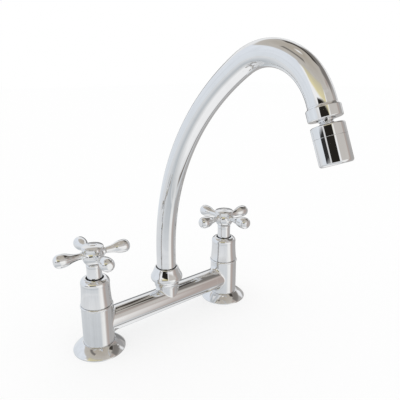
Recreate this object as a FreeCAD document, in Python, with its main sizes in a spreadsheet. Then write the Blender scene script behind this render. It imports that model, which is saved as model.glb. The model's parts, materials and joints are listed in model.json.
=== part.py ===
import FreeCAD, Part
import math
import os

import Sketcher

# Bridge kitchen faucet: two pillars with cross handles, a bridge between them and a swinging spout.
# Millimetres. The origin is on the worktop, midway between the pillars. X runs along the bridge, the spout
# reaches out towards -Y, where the user stands, and Z is up.

doc = FreeCAD.newDocument("BridgeFaucet")

# ---------------------------------------------------------------------------------------------------------
# Driving dimensions
# ---------------------------------------------------------------------------------------------------------

DIMENSIONS = [
    # fits
    ("RunFit", 0.05, "radial clearance of a turning or sliding fit"),
    ("BushFit", 0.1, "radial clearance of a plastic or rubber ring round a turning part"),
    ("FreeGap", 0.3, "gap between parts that do not touch"),
    # base
    ("PillarSpacing", 200, "pillar axis to pillar axis"),
    ("GasketThickness", 1.2, "rubber under the pillar"),
    ("GasketHole", 10, "radius of the gasket's hole"),
    ("FlangeRadius", 30.6, "outer radius of the deck flange"),
    ("FlangeRim", 1.2, "upright rim at the worktop"),
    ("FlangeHeight", 10, "height of the flange"),
    ("FlangeDome", 34, "radius of the domed flank"),
    ("FlangeWall", 2.2, "wall of the flange shell"),
    ("FlangeLand", 1.1, "flat land round the pillar"),
    ("FlangeCrown", 2.8, "thickness of the flange's crown"),
    # pillar
    ("BodyRadius", 18.2, "outer radius of the pillar"),
    ("BeadStep", 0.9, "bead under the bonnet cover, proud of the pillar"),
    ("BeadHeight", 3, "height of the bead"),
    ("BeadTop", 58.4, "top of the bead"),
    ("GrooveDepth", 1.2, "depth of the groove over the bead"),
    ("GrooveHeight", 0.8, "height of the groove"),
    ("CapSpigotRadius", 15.4, "spigot that carries the bonnet cover"),
    ("CapSpigotHeight", 4.8, "height of that spigot"),
    ("InletRadius", 9.316, "minor radius of the G 1/2 inlet thread"),
    ("InletDepth", 14, "depth of the inlet thread"),
    ("WaterwayRadius", 6.5, "waterway from the inlet to the seat"),
    ("SeatHeight", 20, "seat of the valve over the worktop"),
    ("ChamberRadius", 11, "valve chamber"),
    ("ChamberDepth", 27, "valve chamber over its seat"),
    ("ValveThreadRadius", 10.3, "thread that holds the valve body"),
    # bridge
    ("BridgeHeight", 31.2, "axis of the bridge over the worktop"),
    ("PipeRadius", 14.94, "outer radius of the bridge"),
    ("PipeWall", 2.5, "wall of the bridge pipes"),
    ("StubLength", 6.2, "stub beyond the side of the pillar"),
    ("SpigotReach", 8, "length of a brazed spigot in a pipe"),
    ("PortRadius", 9, "waterway through the stubs and the tee"),
    ("StubFillet", 4.6, "fillet where the stub joins the pillar"),
    ("TeeReach", 20, "half length of the tee"),
    ("BossRadius", 14, "threaded boss of the tee"),
    ("BossFillet", 2.5, "fillet where the boss joins the barrel"),
    ("BossRise", 31, "top of the boss over the bridge's axis"),
    ("CollarRadius", 15.4, "collar that the nut seats on"),
    ("CollarHeight", 2, "height of that collar"),
    ("CollarEdge", 0.6, "broken lower edge of that collar"),
    ("CollarRise", 20.3, "top of that collar over the bridge's axis"),
    ("BossBore", 9.6, "bore that the spigot turns in"),
    # valve
    ("BarrelLift", 0.6, "valve body over the seat"),
    ("WasherHeight", 3.2, "seat washer"),
    ("WasherHole", 5.6, "hole of the seat washer"),
    ("DiscThickness", 3.2, "ceramic disc"),
    ("DiscBore", 8, "bore of the valve body round the discs"),
    ("DiscHole", 2.6, "radius of a water hole in the discs"),
    ("DiscHoleOffset", 4.3, "water hole from the disc's axis"),
    ("TongueWidth", 4, "driving tongue of the spindle"),
    ("TongueDepth", 1.2, "tongue in the moving disc"),
    ("DriverHeight", 5, "driving bar of the spindle"),
    ("DriverHalf", 7, "half length of the driving bar"),
    ("BarrelRadius", 9.6, "outside of the valve body in the chamber"),
    ("StemBore", 6, "bore round the spindle's stem"),
    ("StemBoreDrop", 1, "top of that bore under the top of the chamber"),
    ("ShaftRadius", 4, "spindle shaft"),
    ("WindowWidth", 9, "side window of the valve body"),
    ("WindowHeight", 4.4, "height of that window"),
    ("HexFlats", 24, "hexagon of the valve body across flats"),
    ("HexHeight", 7, "height of the hexagon"),
    ("NeckRadius", 8.6, "neck of the valve body"),
    ("NeckHeight", 9.3, "height of the neck over the hexagon"),
    ("ClipThickness", 1, "circlip"),
    ("ClipRadius", 6, "outer radius of the circlip"),
    ("ClipGroove", 3.4, "bottom of the circlip groove"),
    ("ClipOpening", 50, "angle of the circlip's mouth"),
    ("RingSection", 0.72, "section radius of the spindle O-ring"),
    ("RingRise", 5.4, "spindle O-ring over the driving bar"),
    # bonnet cover
    ("CoverStep", 0.1, "foot of the cover inside the pillar's radius"),
    ("CoverWaist", 16.6, "outer radius of the cover at its shoulder"),
    ("CoverFlank", 180, "radius of the cover's hollow flank"),
    ("CoverHeight", 32.1, "height of the cover"),
    ("CoverShoulder", 7.3, "shoulder of the cover under its top"),
    ("CoverShoulderArc", 6.2, "radius of the cover's shoulder"),
    ("CoverLip", 12.6, "outer radius of the flat lip at the top"),
    ("CoverHole", 10.4, "hole of the cover"),
    ("CoverWall", 1.8, "wall of the cover"),
    ("CoverCeiling", 2.4, "thickness of the cover's top"),
    ("GuideFlange", 1.3, "flange of the guide ring under the cover's lip"),
    ("GuideDrop", 1.4, "guide ring under the top of the cover"),
    # handle
    ("LeftHandleTurn", -3.7, "arms of the left handle from the X axis, degrees"),
    ("RightHandleTurn", 3, "arms of the right handle from the X axis, degrees"),
    ("SkirtDrop", 6.8, "foot of the handle skirt under the top of the cover"),
    ("SkirtRadius", 8.7, "handle skirt"),
    ("SkirtTaper", 0.2, "taper of the skirt up to its bead"),
    ("SkirtBore", 6.6, "bore of the handle skirt"),
    ("SkirtBead", 3.8, "height of the bead at the top of the skirt"),
    ("SkirtBeadArc", 6, "radius of that bead's round"),
    ("SkirtBeadDrop", 0.6, "top of that bead under the top of the skirt"),
    ("SkirtHubStep", 0.6, "top of the skirt inside the foot of the hub"),
    ("HubRise", 17.7, "foot of the hub over the cover"),
    ("HubFootRadius", 8.6, "hub at its foot"),
    ("HubRadius", 12.4, "hub at its widest"),
    ("HubWide", 8.5, "widest place of the hub over its foot"),
    ("HubLowerArc", 11.4, "radius of the hub's round under its widest place"),
    ("HubUpperArc", 10.4, "radius of the hub's round over its widest place"),
    ("HubNeck", 10.6, "hub at its neck"),
    ("HubNeckRise", 14.3, "neck of the hub over its foot"),
    ("HubRim", 12.3, "rim of the hub under the index cap"),
    ("HubRimRise", 16.6, "foot of that rim over the hub's foot"),
    ("HubRimArc", 2, "radius of the hollow under that rim"),
    ("HubHeight", 20, "height of the hub"),
    ("HubEdge", 0.6, "broken upper edge of the hub"),
    ("SocketRadius", 7.6, "socket of the hub round the skirt's spigot"),
    ("SocketDepth", 3.5, "depth of that socket"),
    ("SquareSize", 6, "driving square of the spindle"),
    ("SquareDrop", 5, "foot of the driving square under the hub"),
    ("WebRise", 11.5, "top of the hub's web, where the screw seats, over the hub's foot"),
    ("ScrewPocket", 4.2, "pocket round the screw head"),
    ("CapPocket", 9, "pocket of the index cap"),
    ("CapPocketDepth", 3.8, "depth of that pocket"),
    ("ArmRise", 11.8, "axis of the arms over the hub's foot"),
    ("ArmReach", 44.6, "end of an arm from the handle's axis"),
    ("ArmInset", 3.2, "root of an arm inside the hub"),
    ("ArmRoot", 4.7, "collar at the root of an arm"),
    ("ArmRootWidth", 0.7, "width of that collar outside the hub"),
    ("ArmNeck", 3.6, "thinnest place of an arm"),
    ("ArmNeckRun", 3.1, "thinnest place of an arm from the hub"),
    ("ArmNeckArc", 2.6, "hollow between the collar and the neck"),
    ("ArmFlareArc", 42, "hollow lower half of an arm's flare"),
    ("ArmFlareShift", 1.4, "turn of the flare from half way, towards the hub"),
    ("ArmFlareSink", 0.3, "turn of the flare inside the mean radius"),
    ("ArmBulbArc", 26, "full upper half of an arm's flare"),
    ("ArmBulb", 7.7, "thickest place of an arm"),
    ("ArmBulbInset", 5.8, "thickest place from the end of an arm"),
    ("ArmEndArc", 6.8, "round of the arm's end"),
    ("ArmEndStep", 2.6, "end of that round inside the thickest place"),
    ("ArmEndInset", 0.9, "end of that round from the end of an arm"),
    ("ArmTipArc", 3.6, "round next to the arm's flat tip"),
    ("ArmTip", 2.5, "flat tip of an arm"),
    ("ScrewRadius", 1.7, "thread of the handle screw"),
    ("ScrewLength", 10, "length of the handle screw under its head"),
    ("ScrewHead", 3.6, "head of the handle screw"),
    ("ScrewHeadHeight", 2.4, "height of that head"),
    ("ScrewSlot", 1, "width of the screw's slot"),
    ("CapRadius", 12.1, "index cap"),
    ("CapEdge", 0.9, "edge of the index cap"),
    ("CapRise", 1.5, "dome of the index cap over its edge"),
    ("CapDome", 22, "radius of that dome"),
    ("CapChamfer", 0.5, "chamfer under the cap's edge"),
    ("CapDraft", 0.3, "lean of the cap's edge"),
    ("CapLand", 0.5, "flat land round the button"),
    ("ButtonRadius", 4.6, "index button"),
    ("ButtonSeat", 1.2, "depth of the button's seat"),
    ("ButtonEdge", 0.2, "button's edge under the cap"),
    ("ButtonRise", 0.9, "dome of the button over its edge"),
    # spout
    ("TubeRadius", 12.2, "outer radius of the spout"),
    ("TubeWall", 1.2, "wall of the spout"),
    ("RiserLength", 28.5, "straight riser over the spigot's collar"),
    ("LowBendRadius", 269.3, "long lower bend of the spout"),
    ("LowBendAngle", 58.8, "angle of the lower bend, degrees"),
    ("TopBendRadius", 61, "tight upper bend of the spout"),
    ("TopBendAngle", 99.5, "angle of the upper bend, degrees"),
    ("TipStraight", 2.45, "straight end of the spout"),
    ("SpigotRise", 11.8, "foot of the spout's spigot over the bridge's axis"),
    ("SpigotBore", 7.5, "waterway of the spigot"),
    ("SpigotCollar", 13.3, "collar of the spigot"),
    ("SpigotCollarHeight", 3.1, "height of that collar"),
    ("SpigotStub", 12, "spigot in the tube"),
    ("SealSection", 0.75, "section radius of the spout O-rings"),
    ("LowSealRise", 5, "lower spout O-ring over the spigot's foot"),
    ("HighSealRise", 11.5, "upper spout O-ring over the spigot's foot"),
    ("ThrustThickness", 0.7, "thrust washer"),
    ("GlandHeight", 3, "gland ring"),
    ("NutHeight", 23.7, "height of the spout nut"),
    ("NutFootRadius", 15.6, "spout nut at its foot"),
    ("NutFlareArc", 9, "hollow of the nut's foot"),
    ("NutFlareStep", 1.5, "top of that hollow inside the widest place"),
    ("NutFlareDrop", 3.6, "top of that hollow under the widest place"),
    ("NutBulge", 20.4, "spout nut at its widest"),
    ("NutBulgeRise", 10, "widest place of the nut over its foot"),
    ("NutBulgeArc", 4.6, "round under the widest place"),
    ("NutShoulderArc", 5.6, "round over the widest place"),
    ("NutShoulderRise", 3.4, "end of that round over the widest place"),
    ("NutShoulderStep", 1, "end of that round inside the widest place"),
    ("NutNeckArc", 60, "hollow flank up to the nut's mouth"),
    ("NutTopRadius", 15, "spout nut at its top"),
    ("NutEdge", 0.6, "broken upper edge of the nut"),
    ("WiperHeight", 1.6, "wiper ring at the top of the nut"),
    ("WiperDrop", 0.8, "wiper ring under the top of the nut"),
    ("WiperWidth", 1, "radial width of the wiper ring"),
    # tip and aerator nut
    ("FerruleStub", 5, "ferrule in the tube"),
    ("FerruleCollar", 12.9, "ferrule collar at its wide end"),
    ("FerruleCollarHeight", 1.6, "height of that collar"),
    ("FerruleCollarArc", 4, "hollow flank of that collar"),
    ("FerruleThread", 11, "thread of the ferrule"),
    ("FerruleThreadLength", 6, "length of that thread"),
    ("FerruleBore", 8, "waterway of the ferrule"),
    ("AeratorNutRadius", 14.2, "aerator nut"),
    ("AeratorNutLength", 9.9, "length of the aerator nut"),
    ("AeratorNutFloor", 1.7, "floor of the aerator nut"),
    ("AeratorNutHole", 7.9, "hole in that floor"),
    ("EdgeBreak", 0.7, "broken edges of the turned housings"),
    ("AeratorWasher", 1.05, "washer over the ball stem"),
    # ball joint
    ("StemFlange", 10.7, "flange of the ball stem"),
    ("StemRadius", 6.4, "ball stem in the nut's hole"),
    ("StemWaist", 5, "ball stem over the ball"),
    ("StemWaistReach", 7.5, "top of the waist from the ball's centre"),
    ("StemTaper", 1.3, "taper from the stem to the waist"),
    ("BallRadius", 9, "ball"),
    ("BallFit", 0.25, "gap between the ball and its cups"),
    ("BallBore", 3.6, "waterway of the ball"),
    ("BallNeckAngle", 34, "start of the sphere from the ball's axis, degrees"),
    ("BallMouthAngle", 32, "end of the sphere from the ball's axis, degrees"),
    ("BallCentre", 21.6, "ball's centre from the end of the tube"),
    # swivel head
    ("HeadRadius", 13.8, "swivel head"),
    ("HeadTop", 16.05, "top of the swivel head from the end of the tube"),
    ("HeadJoint", 25.8, "joint between the two housings"),
    ("HeadEnd", 48.45, "end of the swivel head"),
    ("HeadEndEdge", 2.2, "rounded lower edge of the swivel head"),
    ("SleeveRadius", 11.4, "sleeve that the lower housing turns on"),
    ("SleeveLength", 7.2, "length of that sleeve"),
    ("SeatBore", 9.6, "bore round the ball seat"),
    ("SeatLip", 0.8, "ball seat under the ball's middle"),
    ("SeatCupHeight", 5.9, "height of the ball seat"),
    ("SeatRingHeight", 3, "threaded ring under the ball seat"),
    ("SeatRingHole", 6.5, "hole of that ring"),
    ("SnapSection", 0.45, "section radius of the ring between the housings"),
    ("ShelfLip", 1, "shelf of the lower housing inside the seat's bore"),
    ("JetBore", 10.8, "bore round the jet insert"),
    ("ScreenThickness", 0.8, "mesh screen"),
    ("ScreenOuterRing", 8.64, "radius of the screen's outer ring of holes"),
    ("ScreenMiddleRing", 5.832, "radius of the screen's middle ring of holes"),
    ("ScreenInnerRing", 3.024, "radius of the screen's inner ring of holes"),
    ("InsertHeight", 7, "jet insert"),
    ("InsertWall", 1.6, "wall of the jet insert"),
    ("PlateThickness", 2, "spray plate"),
    ("PlateRecess", 1.2, "spray plate inside the end of the housing"),
    ("PlateLedge", 0.8, "ledge that holds the spray plate"),
    ("SprayHole", 0.6, "radius of a spray hole"),
    ("SprayRing", 8.4, "radius of the ring of spray holes"),
    ("JetHole", 4.5, "radius of the jet opening"),
]

# Counts
HANDLE_ARMS = 4
HEXAGON_SIDES = 6
DISC_HOLES = 2
OUTER_SCREEN_HOLES = 18
MIDDLE_SCREEN_HOLES = 12
INNER_SCREEN_HOLES = 6
INSERT_SLOTS = 8
SPRAY_HOLES = 20

# Angles in degrees
FULL_TURN = 360
HALF_TURN = 180
QUARTER_TURN = 90

sheet = doc.addObject("Spreadsheet::Sheet", "Sizes")
for row, (alias, value, note) in enumerate(DIMENSIONS, start=1):
    sheet.set(f"A{row}", alias)
    sheet.set(f"B{row}", str(value))
    sheet.set(f"C{row}", note)
    sheet.setAlias(f"B{row}", alias)
doc.recompute()


class Size:
    """A number together with the formula that gives it from the sheet."""

    def __init__(self, number, formula=None):
        self.number = float(number)
        self.formula = formula or repr(float(number))

    def combine(self, sign, other, number):
        return Size(number, f"({self.formula} {sign} {other.formula})")

    def __add__(self, other):
        other = as_size(other)
        return self.combine("+", other, self.number + other.number)

    def __radd__(self, other):
        return as_size(other) + self

    def __sub__(self, other):
        other = as_size(other)
        return self.combine("-", other, self.number - other.number)

    def __rsub__(self, other):
        return as_size(other) - self

    def __mul__(self, other):
        other = as_size(other)
        return self.combine("*", other, self.number * other.number)

    def __rmul__(self, other):
        return as_size(other) * self

    def __truediv__(self, other):
        other = as_size(other)
        return self.combine("/", other, self.number / other.number)

    def __neg__(self):
        return 0 - self


def dome_radius(half_width, rise):
    """Radius of a dome of a given half width that rises by a given height at its middle."""
    return (half_width * half_width + rise * rise) / (2 * rise)


def as_size(value):
    return value if isinstance(value, Size) else Size(value)


def sine(angle):
    return Size(math.sin(math.radians(angle.number)), f"sin({angle.formula} * 1 deg)")


def cosine(angle):
    return Size(math.cos(math.radians(angle.number)), f"cos({angle.formula} * 1 deg)")


class Sheet:
    """Gives each named cell as a Size."""

    def __getattr__(self, alias):
        return Size(VALUES[alias], f"Sizes.{alias}")


VALUES = {alias: float(value) for alias, value, note in DIMENSIONS}
s = Sheet()

# ---------------------------------------------------------------------------------------------------------
# Drawing and features
# ---------------------------------------------------------------------------------------------------------

LEFT_TURN = 1
RIGHT_TURN = -1

# How a sketch names its own origin and the points of an edge
SKETCH_ORIGIN = (-1, 1)
START_POINT, END_POINT, CENTRE_POINT = range(1, 4)

# Room for error, in millimetres, when edges are picked by their place
EDGE_MARGIN = 1

parts = []


def bind(thing, path, size):
    """Ties one property of an object to the sheet."""
    thing.setExpression(path, as_size(size).formula)


def new_body(label):
    body = doc.addObject("PartDesign::Body", label)
    body.Label = label
    parts.append(body)
    return body


def place(body, x=0, y=0, z=0, turn=None):
    """Puts a body at a place, turned about Z by an angle in degrees."""
    if turn is not None:
        angle = as_size(turn)
        body.Placement = FreeCAD.Placement(FreeCAD.Vector(), FreeCAD.Vector(0, 0, 1), angle.number)
        body.setExpression("Placement.Rotation.Angle", f"{angle.formula} * 1 deg")
    for axis, distance in (("x", x), ("y", y), ("z", z)):
        bind(body, f"Placement.Base.{axis}", distance)


def origin_feature(body, role):
    return next(item for item in body.Origin.OriginFeatures if item.Role == role)


def new_sketch(body, plane, name, rise=0):
    """A sketch on one of the body's own planes, lifted along that plane's normal."""
    sketch = body.newObject("Sketcher::SketchObject", name)
    sketch.AttachmentSupport = [(origin_feature(body, plane), "")]
    sketch.MapMode = "FlatFace"
    bind(sketch, "AttachmentOffset.Base.z", rise)
    return sketch


def pin_point(sketch, edge, end, x, y):
    """Holds one end of an edge at a place given by the sheet."""
    for kind, distance in (("DistanceX", x), ("DistanceY", y)):
        index = sketch.addConstraint(Sketcher.Constraint(kind, *SKETCH_ORIGIN, edge, end, distance.number))
        bind(sketch, f"Constraints[{index}]", distance)


def arc_centre(start, end, radius, turn):
    """Centre of the short arc that goes from start to end, turning left or right."""
    dx, dy = end[0] - start[0], end[1] - start[1]
    chord = math.hypot(dx, dy)
    rise = math.sqrt(radius ** 2 - (chord / 2) ** 2)
    return (start[0] + dx / 2 - turn * rise * dy / chord, start[1] + dy / 2 + turn * rise * dx / chord)


def draw(sketch, corners, closed=True):
    """Draws a chain of lines and arcs through corners.

    A corner is (x, y), or (x, y, radius, turn) where the edge that arrives there is an arc."""
    corners = [(as_size(c[0]), as_size(c[1])) + tuple(c[2:]) for c in corners]
    steps = list(zip(corners, corners[1:] + corners[:1])) if closed else list(zip(corners, corners[1:]))
    ends = []
    for start, end in steps:
        a = (start[0].number, start[1].number)
        b = (end[0].number, end[1].number)
        if len(end) == 2:
            edge = sketch.addGeometry(Part.LineSegment(FreeCAD.Vector(*a), FreeCAD.Vector(*b)), False)
            ends.append((edge, START_POINT, END_POINT))
            continue
        radius, turn = as_size(end[2]), end[3]
        centre = arc_centre(a, b, radius.number, turn)
        first, last = (a, b) if turn == LEFT_TURN else (b, a)
        angles = [math.atan2(p[1] - centre[1], p[0] - centre[0]) for p in (first, last)]
        circle = Part.Circle(FreeCAD.Vector(*centre), FreeCAD.Vector(0, 0, 1), radius.number)
        edge = sketch.addGeometry(Part.ArcOfCircle(circle, *angles), False)
        index = sketch.addConstraint(Sketcher.Constraint("Radius", edge, radius.number))
        bind(sketch, f"Constraints[{index}]", radius)
        order = (START_POINT, END_POINT) if turn == LEFT_TURN else (END_POINT, START_POINT)
        ends.append((edge, *order))
    joints = list(zip(ends, ends[1:] + ends[:1])) if closed else list(zip(ends, ends[1:]))
    for (edge, _, last), (other, first, _) in joints:
        sketch.addConstraint(Sketcher.Constraint("Coincident", edge, last, other, first))
    for (edge, first, _), (start, _) in zip(ends, steps):
        pin_point(sketch, edge, first, start[0], start[1])
    if not closed:
        pin_point(sketch, ends[-1][0], ends[-1][2], corners[-1][0], corners[-1][1])


def draw_circle(sketch, x, y, radius):
    x, y, radius = as_size(x), as_size(y), as_size(radius)
    centre = FreeCAD.Vector(x.number, y.number, 0)
    edge = sketch.addGeometry(Part.Circle(centre, FreeCAD.Vector(0, 0, 1), radius.number), False)
    index = sketch.addConstraint(Sketcher.Constraint("Radius", edge, radius.number))
    bind(sketch, f"Constraints[{index}]", radius)
    pin_point(sketch, edge, CENTRE_POINT, x, y)


def box_corners(left, low, right, high):
    return [(left, low), (right, low), (right, high), (left, high)]


def turned(body, name, corners, kind="PartDesign::Revolution"):
    """Turns a half section, drawn as (radius, height), about the body's Z axis."""
    sketch = new_sketch(body, "XZ_Plane", f"{name}_section")
    draw(sketch, corners)
    feature = body.newObject(kind, name)
    feature.Profile = (sketch, [""])
    feature.ReferenceAxis = (sketch, ["V_Axis"])
    feature.Angle = FULL_TURN
    return feature


def bored(body, name, corners):
    return turned(body, name, corners, "PartDesign::Groove")


def padded(body, name, sketch, length, both_ways=False):
    pad = body.newObject("PartDesign::Pad", name)
    pad.Profile = (sketch, [""])
    bind(pad, "Length", length)
    pad.Midplane = both_ways
    return pad


def pocketed(body, name, sketch, length, both_ways=False, reverse=False):
    pocket = body.newObject("PartDesign::Pocket", name)
    pocket.Profile = (sketch, [""])
    bind(pocket, "Length", length)
    pocket.Midplane = both_ways
    pocket.Reversed = reverse
    return pocket


def repeated(body, name, feature, sketch, count):
    pattern = body.newObject("PartDesign::PolarPattern", name)
    pattern.Originals = [feature]
    pattern.Axis = (sketch, ["N_Axis"])
    pattern.Angle = FULL_TURN
    pattern.Occurrences = count
    body.Tip = pattern
    return pattern


def filleted(body, name, base, wanted, radius):
    """Rounds the edges of a feature that a test on each edge picks."""
    doc.recompute()
    names = [f"Edge{i}" for i, edge in enumerate(base.Shape.Edges, start=1) if wanted(edge)]
    fillet = body.newObject("PartDesign::Fillet", name)
    fillet.Base = (base, names)
    bind(fillet, "Radius", radius)
    return fillet


def ring(label, inner, outer, height):
    """A flat ring that stands on its own base."""
    body = new_body(label)
    turned(body, "Ring", box_corners(inner, 0, outer, height))
    return body


def o_ring(label, radius, section):
    """A round-section ring, its middle at the body's origin."""
    body = new_body(label)
    sketch = new_sketch(body, "XZ_Plane", "Ring_section")
    draw_circle(sketch, radius, 0, section)
    feature = body.newObject("PartDesign::Revolution", "Ring")
    feature.Profile = (sketch, [""])
    feature.ReferenceAxis = (sketch, ["V_Axis"])
    feature.Angle = FULL_TURN
    return body


# ---------------------------------------------------------------------------------------------------------
# Places that several parts share
# ---------------------------------------------------------------------------------------------------------

shoulder_height = s.BeadTop + s.GrooveHeight
hex_seat = shoulder_height + s.CapSpigotHeight
chamber_top = s.SeatHeight + s.ChamberDepth
cover_top = shoulder_height + s.CoverHeight
cover_ceiling = cover_top - s.CoverCeiling
pipe_bore = s.PipeRadius - s.PipeWall
brazed_spigot = pipe_bore - s.RunFit
washer_top = s.SeatHeight + s.WasherHeight
fixed_disc_top = washer_top + s.DiscThickness
moving_disc_top = fixed_disc_top + s.DiscThickness
driver_top = moving_disc_top + s.DriverHeight
hex_top = hex_seat + s.HexHeight
neck_top = hex_top + s.NeckHeight
clip_foot = neck_top + s.RunFit
ring_height = driver_top + s.RingRise
skirt_foot = cover_top - s.SkirtDrop
hub_foot = cover_top + s.HubRise
hub_top = hub_foot + s.HubHeight
skirt_top = hub_foot - s.RunFit
square_foot = hub_foot - s.SquareDrop
web_top = hub_foot + s.WebRise
cap_seat = hub_top - s.CapPocketDepth
cap_rim = hub_top + s.CapEdge
cap_top = cap_rim + s.CapRise
nut_seat = s.BridgeHeight + s.CollarRise
nut_top = nut_seat + s.NutHeight
boss_top = s.BridgeHeight + s.BossRise
stub_reach = s.BodyRadius + s.StubLength
spigot_foot = s.BridgeHeight + s.SpigotRise
thrust_top = boss_top + s.ThrustThickness
tube_foot = thrust_top + s.SpigotCollarHeight
gland_top = tube_foot + s.GlandHeight
riser_top = tube_foot + s.RiserLength
tube_bore = s.TubeRadius - s.TubeWall
wiper_foot = nut_top - s.WiperDrop - s.WiperHeight
washer_foot = s.FerruleCollarHeight + s.FerruleThreadLength
floor_top = s.FerruleCollarHeight + s.AeratorNutLength - s.AeratorNutFloor
sleeve_end = s.HeadJoint + s.SleeveLength

# The spout's centreline: riser, long lower bend, tight upper bend and a short straight end.
whole_turn = s.LowBendAngle + s.TopBendAngle
low_bend_out = s.LowBendRadius * (1 - cosine(s.LowBendAngle))
low_bend_top = riser_top + s.LowBendRadius * sine(s.LowBendAngle)
top_bend_out = low_bend_out + s.TopBendRadius * (cosine(s.LowBendAngle) - cosine(whole_turn))
top_bend_end = low_bend_top + s.TopBendRadius * (sine(whole_turn) - sine(s.LowBendAngle))
tip_out = top_bend_out + s.TipStraight * sine(whole_turn)
tip_height = top_bend_end + s.TipStraight * cosine(whole_turn)


def place_at_tip(body, reach=0):
    """Puts a body on the axis of the spout's end, its +Z the way the water leaves."""
    reach = as_size(reach)
    body.Placement = FreeCAD.Placement(FreeCAD.Vector(), FreeCAD.Vector(1, 0, 0), whole_turn.number)
    body.setExpression("Placement.Rotation.Angle", f"{whole_turn.formula} * 1 deg")
    bind(body, "Placement.Base.y", -(tip_out + reach * sine(whole_turn)))
    bind(body, "Placement.Base.z", tip_height + reach * cosine(whole_turn))


# ---------------------------------------------------------------------------------------------------------
# Pillars and their bases
# ---------------------------------------------------------------------------------------------------------

def base_gasket(side, x):
    inside = s.FlangeRadius - s.FlangeWall - s.RunFit
    body = ring(f"{side}_base_gasket", s.GasketHole, inside, s.GasketThickness)
    place(body, x=x)


def flange(side, x):
    """Domed shell with a sleeve round the pillar; its rim hides the gasket."""
    body = new_body(f"{side}_flange")
    inner = s.BodyRadius + s.RunFit
    land = inner + s.FlangeLand
    sleeve = land + s.FlangeWall / 2
    turned(body, "Shell", [
        (inner, s.GasketThickness), (sleeve, s.GasketThickness), (sleeve, s.FlangeHeight - s.FlangeCrown),
        (s.FlangeRadius - s.FlangeWall, s.GasketThickness + s.FlangeRim, s.FlangeDome, RIGHT_TURN),
        (s.FlangeRadius - s.FlangeWall, 0), (s.FlangeRadius, 0), (s.FlangeRadius, s.FlangeRim),
        (land, s.FlangeHeight, s.FlangeDome, LEFT_TURN), (inner, s.FlangeHeight)])
    place(body, x=x)


def pillar(side, x, turn):
    """Cast pillar; its stub points along the body's own +X, towards the other pillar."""
    body = new_body(f"{side}_pillar")
    bead_foot = s.BeadTop - s.BeadHeight
    groove = s.BodyRadius - s.GrooveDepth
    bead_arc = dome_radius(s.BeadHeight / 2, s.BeadStep)
    turned(body, "Casting", [
        (0, s.GasketThickness), (s.BodyRadius, s.GasketThickness), (s.BodyRadius, bead_foot),
        (s.BodyRadius, s.BeadTop, bead_arc, LEFT_TURN), (groove, s.BeadTop),
        (groove, shoulder_height), (s.CapSpigotRadius, shoulder_height), (s.CapSpigotRadius, hex_seat),
        (0, hex_seat)])
    sketch = new_sketch(body, "YZ_Plane", "Stub_section")
    draw_circle(sketch, 0, s.BridgeHeight, s.PipeRadius)
    stub = padded(body, "Stub", sketch, stub_reach)

    def joins_body(edge):
        box = edge.BoundBox
        near = EDGE_MARGIN < box.XMin and box.XMax < s.BodyRadius.number + EDGE_MARGIN
        return near and box.ZLength > s.PipeRadius.number

    filleted(body, "Stub_fillet", stub, joins_body, s.StubFillet)
    sketch = new_sketch(body, "YZ_Plane", "Spigot_section")
    draw_circle(sketch, 0, s.BridgeHeight, brazed_spigot)
    padded(body, "Spigot", sketch, stub_reach + s.SpigotReach)
    bored(body, "Waterway", [
        (0, 0), (s.InletRadius, 0), (s.InletRadius, s.GasketThickness + s.InletDepth),
        (s.WaterwayRadius, s.GasketThickness + s.InletDepth), (s.WaterwayRadius, s.SeatHeight),
        (s.ChamberRadius, s.SeatHeight), (s.ChamberRadius, chamber_top),
        (s.ValveThreadRadius, chamber_top), (s.ValveThreadRadius, hex_top), (0, hex_top)])
    sketch = new_sketch(body, "YZ_Plane", "Port_section")
    draw_circle(sketch, 0, s.BridgeHeight, s.PortRadius)
    pocketed(body, "Port", sketch, stub_reach + 2 * s.SpigotReach, reverse=True)
    place(body, x=x, turn=turn)


def bridge_pipe(side, way):
    """Plain tube between a pillar's stub and the tee."""
    body = new_body(f"{side}_bridge_pipe")
    length = s.PillarSpacing / 2 - stub_reach - s.TeeReach
    sketch = new_sketch(body, "YZ_Plane", "Pipe_section", s.TeeReach)
    draw_circle(sketch, 0, 0, s.PipeRadius)
    draw_circle(sketch, 0, 0, pipe_bore)
    padded(body, "Pipe", sketch, length)
    place(body, z=s.BridgeHeight, turn=0 if way > 0 else HALF_TURN)


def spout_tee():
    """Short barrel with the upright boss that carries the spout."""
    body = new_body("spout_tee")
    sketch = new_sketch(body, "YZ_Plane", "Barrel_section")
    draw_circle(sketch, 0, s.BridgeHeight, s.PipeRadius)
    padded(body, "Barrel", sketch, 2 * s.TeeReach, both_ways=True)
    sketch = new_sketch(body, "XY_Plane", "Boss_section", s.BridgeHeight)
    draw_circle(sketch, 0, 0, s.BossRadius)
    boss = padded(body, "Boss", sketch, s.BossRise)

    def joins_barrel(edge):
        box = edge.BoundBox
        low = s.BridgeHeight.number + EDGE_MARGIN
        high = s.BridgeHeight.number + s.PipeRadius.number + EDGE_MARGIN
        return low < box.ZMin and box.ZMax < high and box.XMax < s.TeeReach.number - EDGE_MARGIN

    filleted(body, "Boss_fillet", boss, joins_barrel, s.BossFillet)
    root = (s.BossRadius + s.BossBore) / 2
    foot = nut_seat - s.CollarHeight
    turned(body, "Collar", [
        (root, foot), (s.CollarRadius - s.CollarEdge, foot), (s.CollarRadius, foot + s.CollarEdge),
        (s.CollarRadius, nut_seat), (root, nut_seat)])
    sketch = new_sketch(body, "YZ_Plane", "Spigot_section")
    draw_circle(sketch, 0, s.BridgeHeight, brazed_spigot)
    padded(body, "Spigots", sketch, 2 * (s.TeeReach + s.SpigotReach), both_ways=True)
    bored(body, "Boss_bore", box_corners(0, s.BridgeHeight, s.BossBore, boss_top + s.FreeGap))
    sketch = new_sketch(body, "YZ_Plane", "Port_section")
    draw_circle(sketch, 0, s.BridgeHeight, s.PortRadius)
    pocketed(body, "Port", sketch, 4 * s.TeeReach, both_ways=True)


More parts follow.
